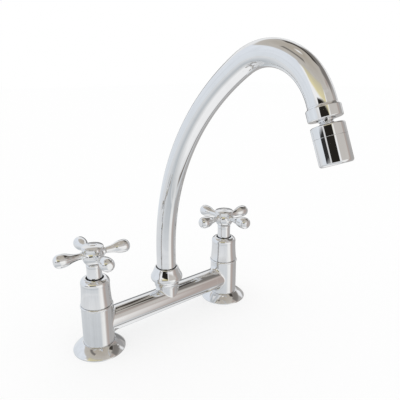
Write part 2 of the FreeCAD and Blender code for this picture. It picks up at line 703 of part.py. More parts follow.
# ---------------------------------------------------------------------------------------------------------
# Valves
# ---------------------------------------------------------------------------------------------------------

def seat_washer(side, x):
    body = ring(f"{side}_seat_washer", s.WasherHole, s.DiscBore - s.BushFit, s.WasherHeight)
    place(body, x=x, z=s.SeatHeight)


def ceramic_disc(label, x, z, turn, slotted):
    """Disc with two water holes; the moving one has a slot for the spindle's tongue."""
    body = new_body(label)
    turned(body, "Disc", box_corners(0, 0, s.DiscBore - s.BushFit, s.DiscThickness))
    sketch = new_sketch(body, "XY_Plane", "Hole_section")
    draw_circle(sketch, s.DiscHoleOffset, 0, s.DiscHole)
    hole = pocketed(body, "Hole", sketch, s.DiscThickness, reverse=True)
    repeated(body, "Holes", hole, sketch, DISC_HOLES)
    if slotted:
        sketch = new_sketch(body, "XY_Plane", "Slot_section", s.DiscThickness)
        half = s.TongueWidth / 2 + s.RunFit
        draw(sketch, box_corners(-half, -s.DiscBore, half, s.DiscBore))
        pocketed(body, "Slot", sketch, s.TongueDepth + s.BushFit)
    place(body, x=x, z=z, turn=turn)


def valve_body(side, x):
    """Headwork that screws into the pillar and holds the discs, the spindle and its ring."""
    body = new_body(f"{side}_valve_body")
    thread = s.ValveThreadRadius - s.RunFit
    turned(body, "Barrel", [
        (0, s.SeatHeight + s.BarrelLift), (s.BarrelRadius, s.SeatHeight + s.BarrelLift),
        (s.BarrelRadius, chamber_top), (thread, chamber_top), (thread, hex_seat), (s.NeckRadius, hex_seat),
        (s.NeckRadius, neck_top), (0, neck_top)])
    sketch = new_sketch(body, "XY_Plane", "Hexagon_section", hex_seat)
    corner = s.HexFlats / 2 / math.cos(math.pi / HEXAGON_SIDES)
    angles = [math.radians(FULL_TURN / HEXAGON_SIDES * side) for side in range(HEXAGON_SIDES)]
    draw(sketch, [(corner * math.cos(a), corner * math.sin(a)) for a in angles])
    padded(body, "Hexagon", sketch, s.HexHeight)
    bore_top = chamber_top - s.StemBoreDrop
    bored(body, "Bore", [
        (0, 0), (s.DiscBore, 0), (s.DiscBore, driver_top + s.FreeGap), (s.StemBore, driver_top + s.FreeGap),
        (s.StemBore, bore_top), (s.ShaftRadius + s.RunFit, bore_top), (s.ShaftRadius + s.RunFit, cover_top),
        (0, cover_top)])
    sketch = new_sketch(body, "XZ_Plane", "Window_section")
    foot = moving_disc_top + s.BushFit
    draw(sketch, box_corners(-s.WindowWidth / 2, foot, s.WindowWidth / 2, foot + s.WindowHeight))
    pocketed(body, "Windows", sketch, 4 * s.BarrelRadius, both_ways=True)
    place(body, x=x)


def spindle(side, x, turn):
    """Driving bar and tongue, thick stem with the O-ring groove, shaft with the clip groove, square."""
    body = new_body(f"{side}_spindle")
    stem = s.StemBore - s.RunFit
    groove = s.StemBore - s.BushFit - 2 * s.RingSection
    ring_half = s.RingSection + s.RunFit
    stem_top = chamber_top - s.StemBoreDrop - s.FreeGap
    low, high = ring_height - ring_half, ring_height + ring_half
    turned(body, "Shaft", [
        (0, driver_top), (stem, driver_top), (stem, low), (groove, low), (groove, high), (stem, high),
        (stem, stem_top),
        (s.ShaftRadius, stem_top), (s.ShaftRadius, clip_foot), (s.ClipGroove, clip_foot),
        (s.ClipGroove, clip_foot + s.ClipThickness + s.RunFit),
        (s.ShaftRadius, clip_foot + s.ClipThickness + s.RunFit), (s.ShaftRadius, square_foot),
        (0, square_foot)])
    sketch = new_sketch(body, "XY_Plane", "Bar_section", moving_disc_top)
    draw(sketch, box_corners(-s.DriverHalf, -s.TongueWidth / 2, s.DriverHalf, s.TongueWidth / 2))
    padded(body, "Bar", sketch, s.DriverHeight)
    sketch = new_sketch(body, "XY_Plane", "Tongue_section", moving_disc_top - s.TongueDepth)
    draw(sketch, box_corners(-s.DriverHalf, -s.TongueWidth / 2, s.DriverHalf, s.TongueWidth / 2))
    padded(body, "Tongue", sketch, s.TongueDepth)
    sketch = new_sketch(body, "XY_Plane", "Square_section", square_foot)
    half = s.SquareSize / 2
    draw(sketch, box_corners(-half, -half, half, half))
    padded(body, "Square", sketch, web_top - s.FreeGap - square_foot)
    bored(body, "Screw_thread", box_corners(
        0, web_top - s.ScrewLength - s.FreeGap, s.ScrewRadius + s.RunFit, hub_top))
    place(body, x=x, turn=turn)


def spindle_ring(side, x):
    middle = s.StemBore - s.RunFit / 2 - s.RingSection
    body = o_ring(f"{side}_spindle_o_ring", middle, s.RingSection)
    place(body, x=x, z=ring_height)


def circlip(side, x, turn):
    """Open ring that keeps the spindle in the valve body."""
    body = ring(f"{side}_circlip", s.ClipGroove + s.RunFit, s.ClipRadius, s.ClipThickness)
    sketch = new_sketch(body, "XY_Plane", "Mouth_section")
    out = 2 * s.ClipRadius * cosine(s.ClipOpening / 2)
    half = 2 * s.ClipRadius * sine(s.ClipOpening / 2)
    draw(sketch, [(0, 0), (out, -half), (out, half)])
    pocketed(body, "Mouth", sketch, s.ClipThickness, reverse=True)
    place(body, x=x, z=clip_foot, turn=turn)


def bonnet_cover(side, x):
    """Bell that screws on the pillar's spigot and hides the headwork."""
    body = new_body(f"{side}_bonnet_cover")
    bore = s.CapSpigotRadius + s.RunFit
    hall = s.CoverWaist - s.CoverWall
    shoulder = cover_top - s.CoverShoulder
    foot = s.BodyRadius - s.CoverStep
    turned(body, "Bell", [
        (bore, shoulder_height), (foot, shoulder_height),
        (s.CoverWaist, shoulder, s.CoverFlank, RIGHT_TURN),
        (s.CoverLip, cover_top, s.CoverShoulderArc, LEFT_TURN), (s.CoverHole, cover_top),
        (s.CoverHole, cover_ceiling), (s.CoverLip, cover_ceiling),
        (hall, shoulder, s.CoverShoulderArc, RIGHT_TURN), (bore, hex_seat + s.FreeGap)])
    place(body, x=x)


def guide_ring(side, x):
    """Plastic ring in the cover's hole that centres the turning skirt."""
    body = new_body(f"{side}_guide_ring")
    bore = s.SkirtRadius + s.BushFit
    foot = cover_ceiling - s.GuideFlange
    top = cover_top - s.GuideDrop
    turned(body, "Ring", [
        (bore, foot), (s.CoverLip, foot), (s.CoverLip, cover_ceiling),
        (s.CoverHole - s.RunFit, cover_ceiling), (s.CoverHole - s.RunFit, top), (bore, top)])
    place(body, x=x)


# ---------------------------------------------------------------------------------------------------------
# Handles
# ---------------------------------------------------------------------------------------------------------

def handle_skirt(side, x):
    """Sleeve under the hub, with a bead, that goes down into the bonnet cover."""
    body = new_body(f"{side}_handle_skirt")
    neck = s.SkirtRadius - s.SkirtTaper
    bead_top = skirt_top - s.SkirtBeadDrop
    spigot = s.SocketRadius - s.RunFit
    spigot_top = hub_foot + s.SocketDepth - s.FreeGap
    turned(body, "Sleeve", [
        (s.SkirtBore, skirt_foot), (s.SkirtRadius, skirt_foot), (neck, bead_top - s.SkirtBead),
        (neck, bead_top, s.SkirtBeadArc, LEFT_TURN), (s.HubFootRadius - s.SkirtHubStep, skirt_top),
        (spigot, skirt_top), (spigot, spigot_top), (s.SkirtBore, spigot_top)])
    place(body, x=x)


def cross_handle(side, x, turn):
    """Hub with four flared arms; square hole for the spindle, pocket for the screw and the cap."""
    body = new_body(f"{side}_cross_handle")
    turned(body, "Hub", [
        (0, hub_foot), (s.HubFootRadius, hub_foot),
        (s.HubRadius, hub_foot + s.HubWide, s.HubLowerArc, LEFT_TURN),
        (s.HubNeck, hub_foot + s.HubNeckRise, s.HubUpperArc, LEFT_TURN),
        (s.HubRim, hub_foot + s.HubRimRise, s.HubRimArc, RIGHT_TURN), (s.HubRim, hub_top - s.HubEdge),
        (s.HubRim - s.HubEdge, hub_top), (0, hub_top)])
    sketch = new_sketch(body, "XZ_Plane", "Arm_section")
    bind(sketch, "AttachmentOffset.Base.y", hub_foot + s.ArmRise)
    root = s.HubRadius - s.ArmInset
    neck = s.HubRadius + s.ArmNeckRun
    bulb = s.ArmReach - s.ArmBulbInset
    turn_reach = (neck + bulb) / 2 - s.ArmFlareShift
    turn_radius = (s.ArmNeck + s.ArmBulb) / 2 - s.ArmFlareSink
    draw(sketch, [
        (root, 0), (root, s.ArmRoot), (s.HubRadius + s.ArmRootWidth, s.ArmRoot),
        (neck, s.ArmNeck, s.ArmNeckArc, LEFT_TURN),
        (turn_reach, turn_radius, s.ArmFlareArc, LEFT_TURN),
        (bulb, s.ArmBulb, s.ArmBulbArc, RIGHT_TURN),
        (s.ArmReach - s.ArmEndInset, s.ArmBulb - s.ArmEndStep, s.ArmEndArc, RIGHT_TURN),
        (s.ArmReach, s.ArmTip, s.ArmTipArc, RIGHT_TURN), (s.ArmReach, 0)])
    arm = body.newObject("PartDesign::Revolution", "Arm")
    arm.Profile = (sketch, [""])
    arm.ReferenceAxis = (sketch, ["H_Axis"])
    arm.Angle = FULL_TURN
    axis_sketch = new_sketch(body, "XY_Plane", "Square_section", hub_foot)
    half = s.SquareSize / 2 + s.RunFit
    draw(axis_sketch, box_corners(-half, -half, half, half))
    repeated(body, "Arms", arm, axis_sketch, HANDLE_ARMS)
    pocketed(body, "Square", axis_sketch, s.HubHeight, reverse=True)
    bored(body, "Socket", box_corners(0, skirt_foot, s.SocketRadius, hub_foot + s.SocketDepth))
    bored(body, "Pockets", [
        (0, web_top), (s.ScrewPocket, web_top), (s.ScrewPocket, cap_seat), (s.CapPocket, cap_seat),
        (s.CapPocket, hub_top + s.FreeGap), (0, hub_top + s.FreeGap)])
    place(body, x=x, turn=turn)


def handle_screw(side, x, turn):
    body = new_body(f"{side}_handle_screw")
    head_top = web_top + s.ScrewHeadHeight
    turned(body, "Screw", [
        (0, web_top - s.ScrewLength), (s.ScrewRadius, web_top - s.ScrewLength), (s.ScrewRadius, web_top),
        (s.ScrewHead, web_top), (s.ScrewHead, head_top), (0, head_top)])
    sketch = new_sketch(body, "XY_Plane", "Slot_section", head_top)
    draw(sketch, box_corners(-s.ScrewHead, -s.ScrewSlot / 2, s.ScrewHead, s.ScrewSlot / 2))
    pocketed(body, "Slot", sketch, s.ScrewHeadHeight / 2)
    place(body, x=x, turn=turn)


def index_cap(side, x):
    """Low dome that plugs into the hub and holds the button in its middle."""
    body = new_body(f"{side}_index_cap")
    stub = s.CapPocket - s.RunFit
    seat = s.ButtonRadius + s.RunFit
    turned(body, "Dome", [
        (0, cap_seat + s.FreeGap), (stub, cap_seat + s.FreeGap), (stub, hub_top),
        (s.CapRadius - s.CapChamfer, hub_top), (s.CapRadius, hub_top + s.CapChamfer),
        (s.CapRadius - s.CapDraft, cap_rim), (seat + s.CapLand, cap_top, s.CapDome, LEFT_TURN),
        (seat, cap_top), (seat, cap_top - s.ButtonSeat), (0, cap_top - s.ButtonSeat)])
    place(body, x=x)


def index_button(side, x):
    body = new_body(f"{side}_index_button")
    seat = cap_top - s.ButtonSeat
    edge = cap_top - s.ButtonEdge
    turned(body, "Button", [
        (0, seat), (s.ButtonRadius, seat), (s.ButtonRadius, edge),
        (0, edge + s.ButtonRise, dome_radius(s.ButtonRadius, s.ButtonRise), LEFT_TURN)])
    place(body, x=x)


# ---------------------------------------------------------------------------------------------------------
# Spout
# ---------------------------------------------------------------------------------------------------------

def spout_nut():
    """Bell nut on the tee's thread; its shoulder holds the spout down."""
    body = new_body("spout_nut")
    thread = s.BossRadius + s.RunFit
    gland = s.SpigotCollar + s.FreeGap
    throat = s.TubeRadius + s.FreeGap
    mouth = s.TubeRadius + s.BushFit + s.WiperWidth + s.RunFit
    bulge = nut_seat + s.NutBulgeRise
    turned(body, "Bell", [
        (thread, nut_seat), (s.NutFootRadius, nut_seat),
        (s.NutBulge - s.NutFlareStep, bulge - s.NutFlareDrop, s.NutFlareArc, RIGHT_TURN),
        (s.NutBulge, bulge, s.NutBulgeArc, LEFT_TURN),
        (s.NutBulge - s.NutShoulderStep, bulge + s.NutShoulderRise, s.NutShoulderArc, LEFT_TURN),
        (s.NutTopRadius, nut_top - s.NutEdge, s.NutNeckArc, RIGHT_TURN),
        (s.NutTopRadius - s.NutEdge, nut_top), (mouth, nut_top), (mouth, wiper_foot), (throat, wiper_foot),
        (throat, gland_top), (gland, gland_top), (gland, boss_top + s.FreeGap),
        (thread, boss_top + s.FreeGap)])


def thrust_washer():
    body = ring("thrust_washer", s.BossBore + s.BushFit, s.SpigotCollar, s.ThrustThickness)
    place(body, z=boss_top)


def gland_ring():
    body = ring("gland_ring", s.TubeRadius + s.BushFit, s.SpigotCollar + s.BushFit, s.GlandHeight)
    place(body, z=tube_foot)


def spout_wiper():
    inner = s.TubeRadius + s.BushFit
    body = ring("spout_wiper", inner, inner + s.WiperWidth, s.WiperHeight)
    place(body, z=wiper_foot)


def spout_spigot():
    """Turned foot of the spout: plug with two grooves, collar, and the stub in the tube."""
    body = new_body("spout_spigot")
    plug = s.BossBore - s.RunFit
    groove = s.BossBore - s.BushFit - 2 * s.SealSection
    half = s.SealSection + s.RunFit
    stub = tube_bore - s.RunFit
    corners = [(s.SpigotBore, spigot_foot), (plug, spigot_foot)]
    for rise in (s.LowSealRise, s.HighSealRise):
        low, high = spigot_foot + rise - half, spigot_foot + rise + half
        corners += [(plug, low), (groove, low), (groove, high), (plug, high)]
    corners += [
        (plug, thrust_top), (s.SpigotCollar, thrust_top), (s.SpigotCollar, tube_foot), (stub, tube_foot),
        (stub, tube_foot + s.SpigotStub), (s.SpigotBore, tube_foot + s.SpigotStub)]
    turned(body, "Spigot", corners)


def spigot_ring(label, height):
    middle = s.BossBore - s.RunFit / 2 - s.SealSection
    place(o_ring(label, middle, s.SealSection), z=height)


def spout_tube():
    """Swan-neck tube, swept along its centreline."""
    body = new_body("spout_tube")
    spine = new_sketch(body, "YZ_Plane", "Centreline")
    draw(spine, [
        (0, tube_foot), (0, riser_top), (-low_bend_out, low_bend_top, s.LowBendRadius, LEFT_TURN),
        (-top_bend_out, top_bend_end, s.TopBendRadius, LEFT_TURN), (-tip_out, tip_height)], closed=False)
    outside = new_sketch(body, "XY_Plane", "Outside", tube_foot)
    draw_circle(outside, 0, 0, s.TubeRadius)
    tube = body.newObject("PartDesign::AdditivePipe", "Tube")
    tube.Profile = (outside, [""])
    tube.Spine = (spine, [])
    inside = new_sketch(body, "XY_Plane", "Inside", tube_foot)
    draw_circle(inside, 0, 0, tube_bore)
    bore = body.newObject("PartDesign::SubtractivePipe", "Bore")
    bore.Profile = (inside, [""])
    bore.Spine = (spine, [])


def spout_ferrule():
    """Brazed end of the tube: stub, conical collar and the thread of the aerator nut."""
    body = new_body("spout_ferrule")
    stub = tube_bore - s.BushFit
    collar = s.FerruleStub
    thread_foot = s.FerruleStub + s.FerruleCollarHeight
    thread_end = thread_foot + s.FerruleThreadLength
    turned(body, "Ferrule", [
        (s.FerruleBore, 0), (stub, 0), (stub, collar), (s.TubeRadius + s.RunFit, collar),
        (s.FerruleCollar, thread_foot, s.FerruleCollarArc, RIGHT_TURN), (s.FerruleThread, thread_foot),
        (s.FerruleThread, thread_end), (s.FerruleBore, thread_end)])
    place_at_tip(body, -s.FerruleStub)


# ---------------------------------------------------------------------------------------------------------
# Aerator, measured along the axis of the spout's end
# ---------------------------------------------------------------------------------------------------------

def aerator_nut():
    """Ring nut on the ferrule; its floor carries the ball stem."""
    body = new_body("aerator_nut")
    top = s.FerruleCollarHeight
    end = top + s.AeratorNutLength
    thread = s.FerruleThread + s.RunFit
    edge = s.AeratorNutRadius - s.EdgeBreak
    turned(body, "Nut", [
        (thread, top), (edge, top), (s.AeratorNutRadius, top + s.EdgeBreak),
        (s.AeratorNutRadius, end - s.EdgeBreak), (edge, end), (s.AeratorNutHole, end),
        (s.AeratorNutHole, floor_top), (thread, floor_top)])
    place_at_tip(body)


def aerator_washer():
    body = ring("aerator_washer", s.FerruleBore, s.FerruleThread - s.RunFit, s.AeratorWasher)
    place_at_tip(body, washer_foot)


def stem_seal():
    """Ring round the stem, in the hole of the nut's floor; it just clears the turning flange."""
    height = s.AeratorNutFloor - s.FreeGap
    body = ring("stem_seal", s.StemRadius + s.RunFit, s.AeratorNutHole - s.RunFit, height)
    place_at_tip(body, floor_top + s.RunFit)


def ball_stem():
    """Flanged stem that turns in the nut, with the ball that the head tilts on."""
    body = new_body("ball_stem")
    flange_top = washer_foot + s.AeratorWasher
    waist_top = s.BallCentre - s.StemWaistReach
    ball_top = s.BallCentre - s.BallRadius * cosine(s.BallNeckAngle)
    ball_side = s.BallRadius * sine(s.BallNeckAngle)
    mouth = s.BallRadius * sine(s.BallMouthAngle)
    mouth_reach = s.BallCentre + s.BallRadius * cosine(s.BallMouthAngle)
    turned(body, "Stem", [
        (s.BallBore, flange_top), (s.StemFlange, flange_top), (s.StemFlange, floor_top),
        (s.StemRadius, floor_top), (s.StemRadius, waist_top - s.StemTaper), (s.StemWaist, waist_top),
        (ball_side, ball_top),
        (s.BallRadius, s.BallCentre, s.BallRadius, LEFT_TURN),
        (mouth, mouth_reach, s.BallRadius, LEFT_TURN), (s.BallBore, mouth_reach)])
    place_at_tip(body)


def swivel_socket():
    """Upper housing: lip over the ball, bore for the seat, and the sleeve for the lower housing."""
    body = new_body("swivel_socket")
    hollow = s.BallRadius + s.BallFit
    lip_reach = s.BallCentre - s.HeadTop
    lip = Size(math.sqrt(hollow.number ** 2 - lip_reach.number ** 2),
               f"sqrt({hollow.formula} * {hollow.formula} - {lip_reach.formula} * {lip_reach.formula})")
    snap_half = s.SnapSection + s.RunFit
    snap_reach = s.HeadJoint + s.SleeveLength / 2
    snap_groove = s.SleeveRadius - 2 * s.SnapSection - s.RunFit
    turned(body, "Housing", [
        (lip, s.HeadTop, hollow, RIGHT_TURN), (s.HeadRadius - 2 * s.EdgeBreak, s.HeadTop),
        (s.HeadRadius, s.HeadTop + 2 * s.EdgeBreak, 2 * s.EdgeBreak, RIGHT_TURN),
        (s.HeadRadius, s.HeadJoint), (s.SleeveRadius, s.HeadJoint), (s.SleeveRadius, snap_reach - snap_half),
        (snap_groove, snap_reach - snap_half), (snap_groove, snap_reach + snap_half),
        (s.SleeveRadius, snap_reach + snap_half), (s.SleeveRadius, sleeve_end), (s.SeatBore, sleeve_end),
        (s.SeatBore, s.BallCentre), (hollow, s.BallCentre)])
    place_at_tip(body)


def ball_seat():
    """Plastic cup under the ball."""
    body = new_body("ball_seat")
    hollow = s.BallRadius + s.BallFit
    top = s.BallCentre + s.SeatLip
    end = top + s.SeatCupHeight
    drop = end - s.BallCentre
    lip = Size(math.sqrt(hollow.number ** 2 - s.SeatLip.number ** 2),
               f"sqrt({hollow.formula} * {hollow.formula} - {s.SeatLip.formula} * {s.SeatLip.formula})")
    throat = Size(math.sqrt(hollow.number ** 2 - drop.number ** 2),
                  f"sqrt({hollow.formula} * {hollow.formula} - {drop.formula} * {drop.formula})")
    outside = s.SeatBore - s.RunFit
    turned(body, "Cup", [(lip, top, hollow, RIGHT_TURN), (outside, top), (outside, end), (throat, end)])
    place_at_tip(body)


def seat_ring():
    """Threaded ring that holds the cup up against the ball."""
    body = ring("seat_ring", s.SeatRingHole, s.SeatBore - s.RunFit, s.SeatRingHeight)
    place_at_tip(body, s.BallCentre + s.SeatLip + s.SeatCupHeight)


def housing_ring():
    """Ring in the sleeve's groove that the lower housing clicks over."""
    middle = s.SleeveRadius - s.SnapSection - s.RunFit / 2
    body = o_ring("housing_ring", middle, s.SnapSection)
    place_at_tip(body, s.HeadJoint + s.SleeveLength / 2)


def nozzle_housing():
    """Lower housing that turns on the sleeve and holds the insert, the screen and the plate."""
    body = new_body("nozzle_housing")
    top = s.HeadJoint + s.RunFit
    shelf = sleeve_end + s.RunFit
    screen_seat = s.HeadEnd - s.PlateRecess - s.PlateThickness - s.InsertHeight - s.ScreenThickness
    bore = s.SleeveRadius + s.RunFit
    mouth = s.JetBore - s.PlateLedge
    corner = s.HeadEndEdge
    shelf_bore = s.SeatBore - s.ShelfLip
    turned(body, "Housing", [
        (bore, top), (s.HeadRadius, top), (s.HeadRadius, s.HeadEnd - corner),
        (s.HeadRadius - corner, s.HeadEnd, corner, LEFT_TURN), (mouth, s.HeadEnd),
        (mouth, s.HeadEnd - s.PlateRecess), (s.JetBore, s.HeadEnd - s.PlateRecess), (s.JetBore, screen_seat),
        (shelf_bore, screen_seat), (shelf_bore, shelf), (bore, shelf)])
    place_at_tip(body)


def mesh_screen():
    """Perforated disc over the insert."""
    body = new_body("mesh_screen")
    turned(body, "Disc", box_corners(0, 0, s.JetBore - s.BushFit, s.ScreenThickness))
    rings = (
        ("Outer", OUTER_SCREEN_HOLES, s.ScreenOuterRing),
        ("Middle", MIDDLE_SCREEN_HOLES, s.ScreenMiddleRing),
        ("Inner", INNER_SCREEN_HOLES, s.ScreenInnerRing))
    for name, count, radius in rings:
        sketch = new_sketch(body, "XY_Plane", f"{name}_hole")
        draw_circle(sketch, radius, 0, s.SprayHole)
        hole = pocketed(body, f"{name}_cut", sketch, s.ScreenThickness, reverse=True)
        repeated(body, f"{name}_holes", hole, sketch, count)
    end = s.HeadEnd - s.PlateRecess - s.PlateThickness - s.InsertHeight
    place_at_tip(body, end - s.ScreenThickness)


def jet_insert():
    """Plastic cage that mixes air into the jet."""
    body = new_body("jet_insert")
    outside = s.JetBore - s.BushFit
    hollow = outside - s.InsertWall
    turned(body, "Cage", [
        (hollow, 0), (outside, 0), (outside, s.InsertHeight), (s.JetHole, s.InsertHeight),
        (s.JetHole, s.InsertHeight - s.InsertWall), (hollow, s.InsertHeight - s.InsertWall)])
    sketch = new_sketch(body, "YZ_Plane", "Slot_section")
    half = s.InsertWall / 2
    draw(sketch, box_corners(-half, s.InsertWall, half, s.InsertHeight - 2 * s.InsertWall))
    slot = pocketed(body, "Slot", sketch, 2 * s.JetBore, reverse=True)
    axis_sketch = new_sketch(body, "XY_Plane", "Axis")
    draw_circle(axis_sketch, 0, 0, s.JetHole)
    repeated(body, "Slots", slot, axis_sketch, INSERT_SLOTS)
    place_at_tip(body, s.HeadEnd - s.PlateRecess - s.PlateThickness - s.InsertHeight)


def spray_plate():
    """End plate with the jet opening and its ring of spray holes."""
    body = new_body("spray_plate")
    turned(body, "Plate", box_corners(s.JetHole, 0, s.JetBore - s.BushFit, s.PlateThickness))
    sketch = new_sketch(body, "XY_Plane", "Hole_section")
    draw_circle(sketch, s.SprayRing, 0, s.SprayHole)
    hole = pocketed(body, "Hole", sketch, s.PlateThickness, reverse=True)
    repeated(body, "Holes", hole, sketch, SPRAY_HOLES)
    place_at_tip(body, s.HeadEnd - s.PlateRecess - s.PlateThickness)


# ---------------------------------------------------------------------------------------------------------
# The whole faucet
# ---------------------------------------------------------------------------------------------------------

for side, way, handle_turn in (("left", -1, s.LeftHandleTurn), ("right", 1, s.RightHandleTurn)):
    x = way * s.PillarSpacing / 2
    base_gasket(side, x)
    flange(side, x)
    pillar(side, x, 0 if way < 0 else HALF_TURN)
    bridge_pipe(side, way)
    seat_washer(side, x)
    ceramic_disc(f"{side}_fixed_disc", x, washer_top, handle_turn, slotted=False)
    ceramic_disc(f"{side}_moving_disc", x, fixed_disc_top, handle_turn + QUARTER_TURN, slotted=True)
    valve_body(side, x)
    spindle(side, x, handle_turn)
    spindle_ring(side, x)
    circlip(side, x, handle_turn)
    bonnet_cover(side, x)
    guide_ring(side, x)
    handle_skirt(side, x)
    cross_handle(side, x, handle_turn)
    handle_screw(side, x, handle_turn)
    index_cap(side, x)
    index_button(side, x)

spout_tee()
spout_nut()
thrust_washer()
gland_ring()
spout_wiper()
spout_spigot()
spigot_ring("lower_spigot_o_ring", spigot_foot + s.LowSealRise)
spigot_ring("upper_spigot_o_ring", spigot_foot + s.HighSealRise)
spout_tube()
spout_ferrule()
aerator_nut()
aerator_washer()
stem_seal()
ball_stem()
swivel_socket()
ball_seat()
seat_ring()
housing_ring()
nozzle_housing()
mesh_screen()
jet_insert()
spray_plate()

doc.recompute()

# ---------------------------------------------------------------------------------------------------------
# Test and write
# ---------------------------------------------------------------------------------------------------------

for item in doc.Objects:
    if "Invalid" in item.State or "Error" in item.State:
        raise RuntimeError(f"{item.Label} of {item.getParentGeoFeatureGroup()} failed: {item.State}")
for body in parts:
    shape = body.Shape
    if shape.isNull() or not shape.isValid() or len(shape.Solids) != 1:
        raise RuntimeError(f"{body.Label} is not one sound solid")

os.makedirs("parts", exist_ok=True)
for body in parts:
    body.Shape.exportStep(f"parts/{body.Label}.step")
    print(f"{body.Label:24s} {body.Shape.Volume / 1000:9.3f} cm3")
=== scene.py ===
"""Bridge kitchen faucet: its visible pieces, their finishes and the studio that they stand in."""
import json
from math import atan2, ceil, cos, pi, radians, sin, sqrt

import bpy
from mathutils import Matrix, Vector


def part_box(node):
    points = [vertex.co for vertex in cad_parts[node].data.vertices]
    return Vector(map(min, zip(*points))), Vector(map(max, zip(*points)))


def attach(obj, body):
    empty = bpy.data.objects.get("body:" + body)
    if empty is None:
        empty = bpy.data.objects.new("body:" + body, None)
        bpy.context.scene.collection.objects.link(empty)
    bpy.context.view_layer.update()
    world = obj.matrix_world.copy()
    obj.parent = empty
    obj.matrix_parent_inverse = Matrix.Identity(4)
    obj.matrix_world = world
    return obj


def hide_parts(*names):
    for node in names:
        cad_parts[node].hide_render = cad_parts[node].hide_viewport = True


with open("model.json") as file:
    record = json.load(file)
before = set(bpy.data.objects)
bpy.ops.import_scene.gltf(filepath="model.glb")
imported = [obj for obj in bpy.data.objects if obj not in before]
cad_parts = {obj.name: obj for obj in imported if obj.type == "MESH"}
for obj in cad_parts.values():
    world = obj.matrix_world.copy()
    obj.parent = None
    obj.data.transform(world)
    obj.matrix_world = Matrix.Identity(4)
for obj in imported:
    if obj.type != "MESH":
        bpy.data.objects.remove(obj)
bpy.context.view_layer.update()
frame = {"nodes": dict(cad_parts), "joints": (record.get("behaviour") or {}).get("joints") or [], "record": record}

MM = 0.001
LEFT_TURN, RIGHT_TURN = 1, -1
QUARTER_TURN = pi / 2
ROUND_STEPS = 128            # facets round a turned piece
FILLET_STEPS = 12            # facets across the fillet between two bars
ARC_STEP = radians(5)        # longest step along an arc of a section, as an angle
LONG_STEP = 1.6 * MM         # and as a length
WELD = 0.001 * MM            # points nearer than this become one
BEVEL_SEGMENTS = 3
BEVEL_ANGLE = radians(28)    # edges sharper than this are broken
FLAT_WEIGHT = 60             # how far flat faces rule the shading beside them


# ---------------------------------------------------------------------------------------------------------
# Sizes
# ---------------------------------------------------------------------------------------------------------

def reach(node):
    """Half width of a node across Y, which is its radius where it is round about Z or X."""
    low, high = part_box(node)
    return (high.y - low.y) / 2


def foot(node):
    """Height of a node's lowest point."""
    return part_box(node)[0].z


def top(node):
    """Height of a node's highest point."""
    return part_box(node)[1].z


def middle(node):
    """Place of a node's middle along X."""
    low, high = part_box(node)
    return (low.x + high.x) / 2


def joint_anchor(name):
    """Point that a joint turns about."""
    return next(Vector(joint["pos_m"]) for joint in frame["joints"] if joint["name"] == name)


RUN_FIT = 0.05 * MM          # close gap between pieces that fit together
SLIDE_FIT = 0.1 * MM         # wider gap round the skirt, the tube and the brazed stub
EDGE = 0.2 * MM              # usual width of a broken edge

# base and pillar
FLANGE_RIM = 1.2 * MM
FLANGE_DOME = 34 * MM
FLANGE_WALL = 2.2 * MM
FLANGE_LAND = 1.1 * MM
FLANGE_CROWN = 2.8 * MM
FLANGE_EDGE = 0.3 * MM
PILLAR_RADIUS = 18.2 * MM
BEAD_STEP = 0.9 * MM
BEAD_HEIGHT = 3 * MM
BEAD_TOP = 58.4 * MM
GROOVE_DEPTH = 1.2 * MM
COVER_SPIGOT = 15.4 * MM
INLET_RADIUS = 9.316 * MM
INLET_DEPTH = 14 * MM
WATERWAY = 6.5 * MM
SEAT_HEIGHT = 20 * MM
CHAMBER_RADIUS = 11 * MM
CHAMBER_TOP = 47 * MM
VALVE_THREAD = 10.3 * MM
PILLAR_EDGE = 0.15 * MM

# bridge
BRIDGE_HEIGHT = (foot("left_bridge_pipe") + top("left_bridge_pipe")) / 2
PIPE_RADIUS = reach("left_bridge_pipe")
PIPE_WALL = 2.5 * MM
STUB_REACH = 24.4 * MM
STUB_FILLET = 4.6 * MM
STUB_SINK = 3 * MM           # how far the stub goes into the pillar
STUB_EDGE = 0.05 * MM
TEE_REACH = 20 * MM
SPIGOT_REACH = 8 * MM
SPIGOT_SINK = 1 * MM
BRIDGE_EDGE = 0.03 * MM
PORT_RADIUS = 9 * MM
BOSS_RADIUS = 14 * MM
BOSS_BORE = 9.6 * MM
BOSS_FILLET = 2.5 * MM
BOSS_SINK = 2 * MM
BOSS_CORE = 13 * MM          # radius of the turned piece inside the boss's skin
COLLAR_RADIUS = 15.4 * MM
COLLAR_HEIGHT = 2 * MM
COLLAR_CHAMFER = 0.6 * MM

# bonnet cover
COVER_WAIST = 16.6 * MM
COVER_FLANK = 180 * MM
COVER_SHOULDER = 7.3 * MM
COVER_SHOULDER_ARC = 6.2 * MM
COVER_LIP = 12.6 * MM
COVER_HOLE = 10.4 * MM
COVER_WALL = 1.8 * MM
COVER_CEILING = 2.4 * MM
COVER_BORE_TOP = 64.3 * MM
GUIDE_EDGE = 0.3 * MM

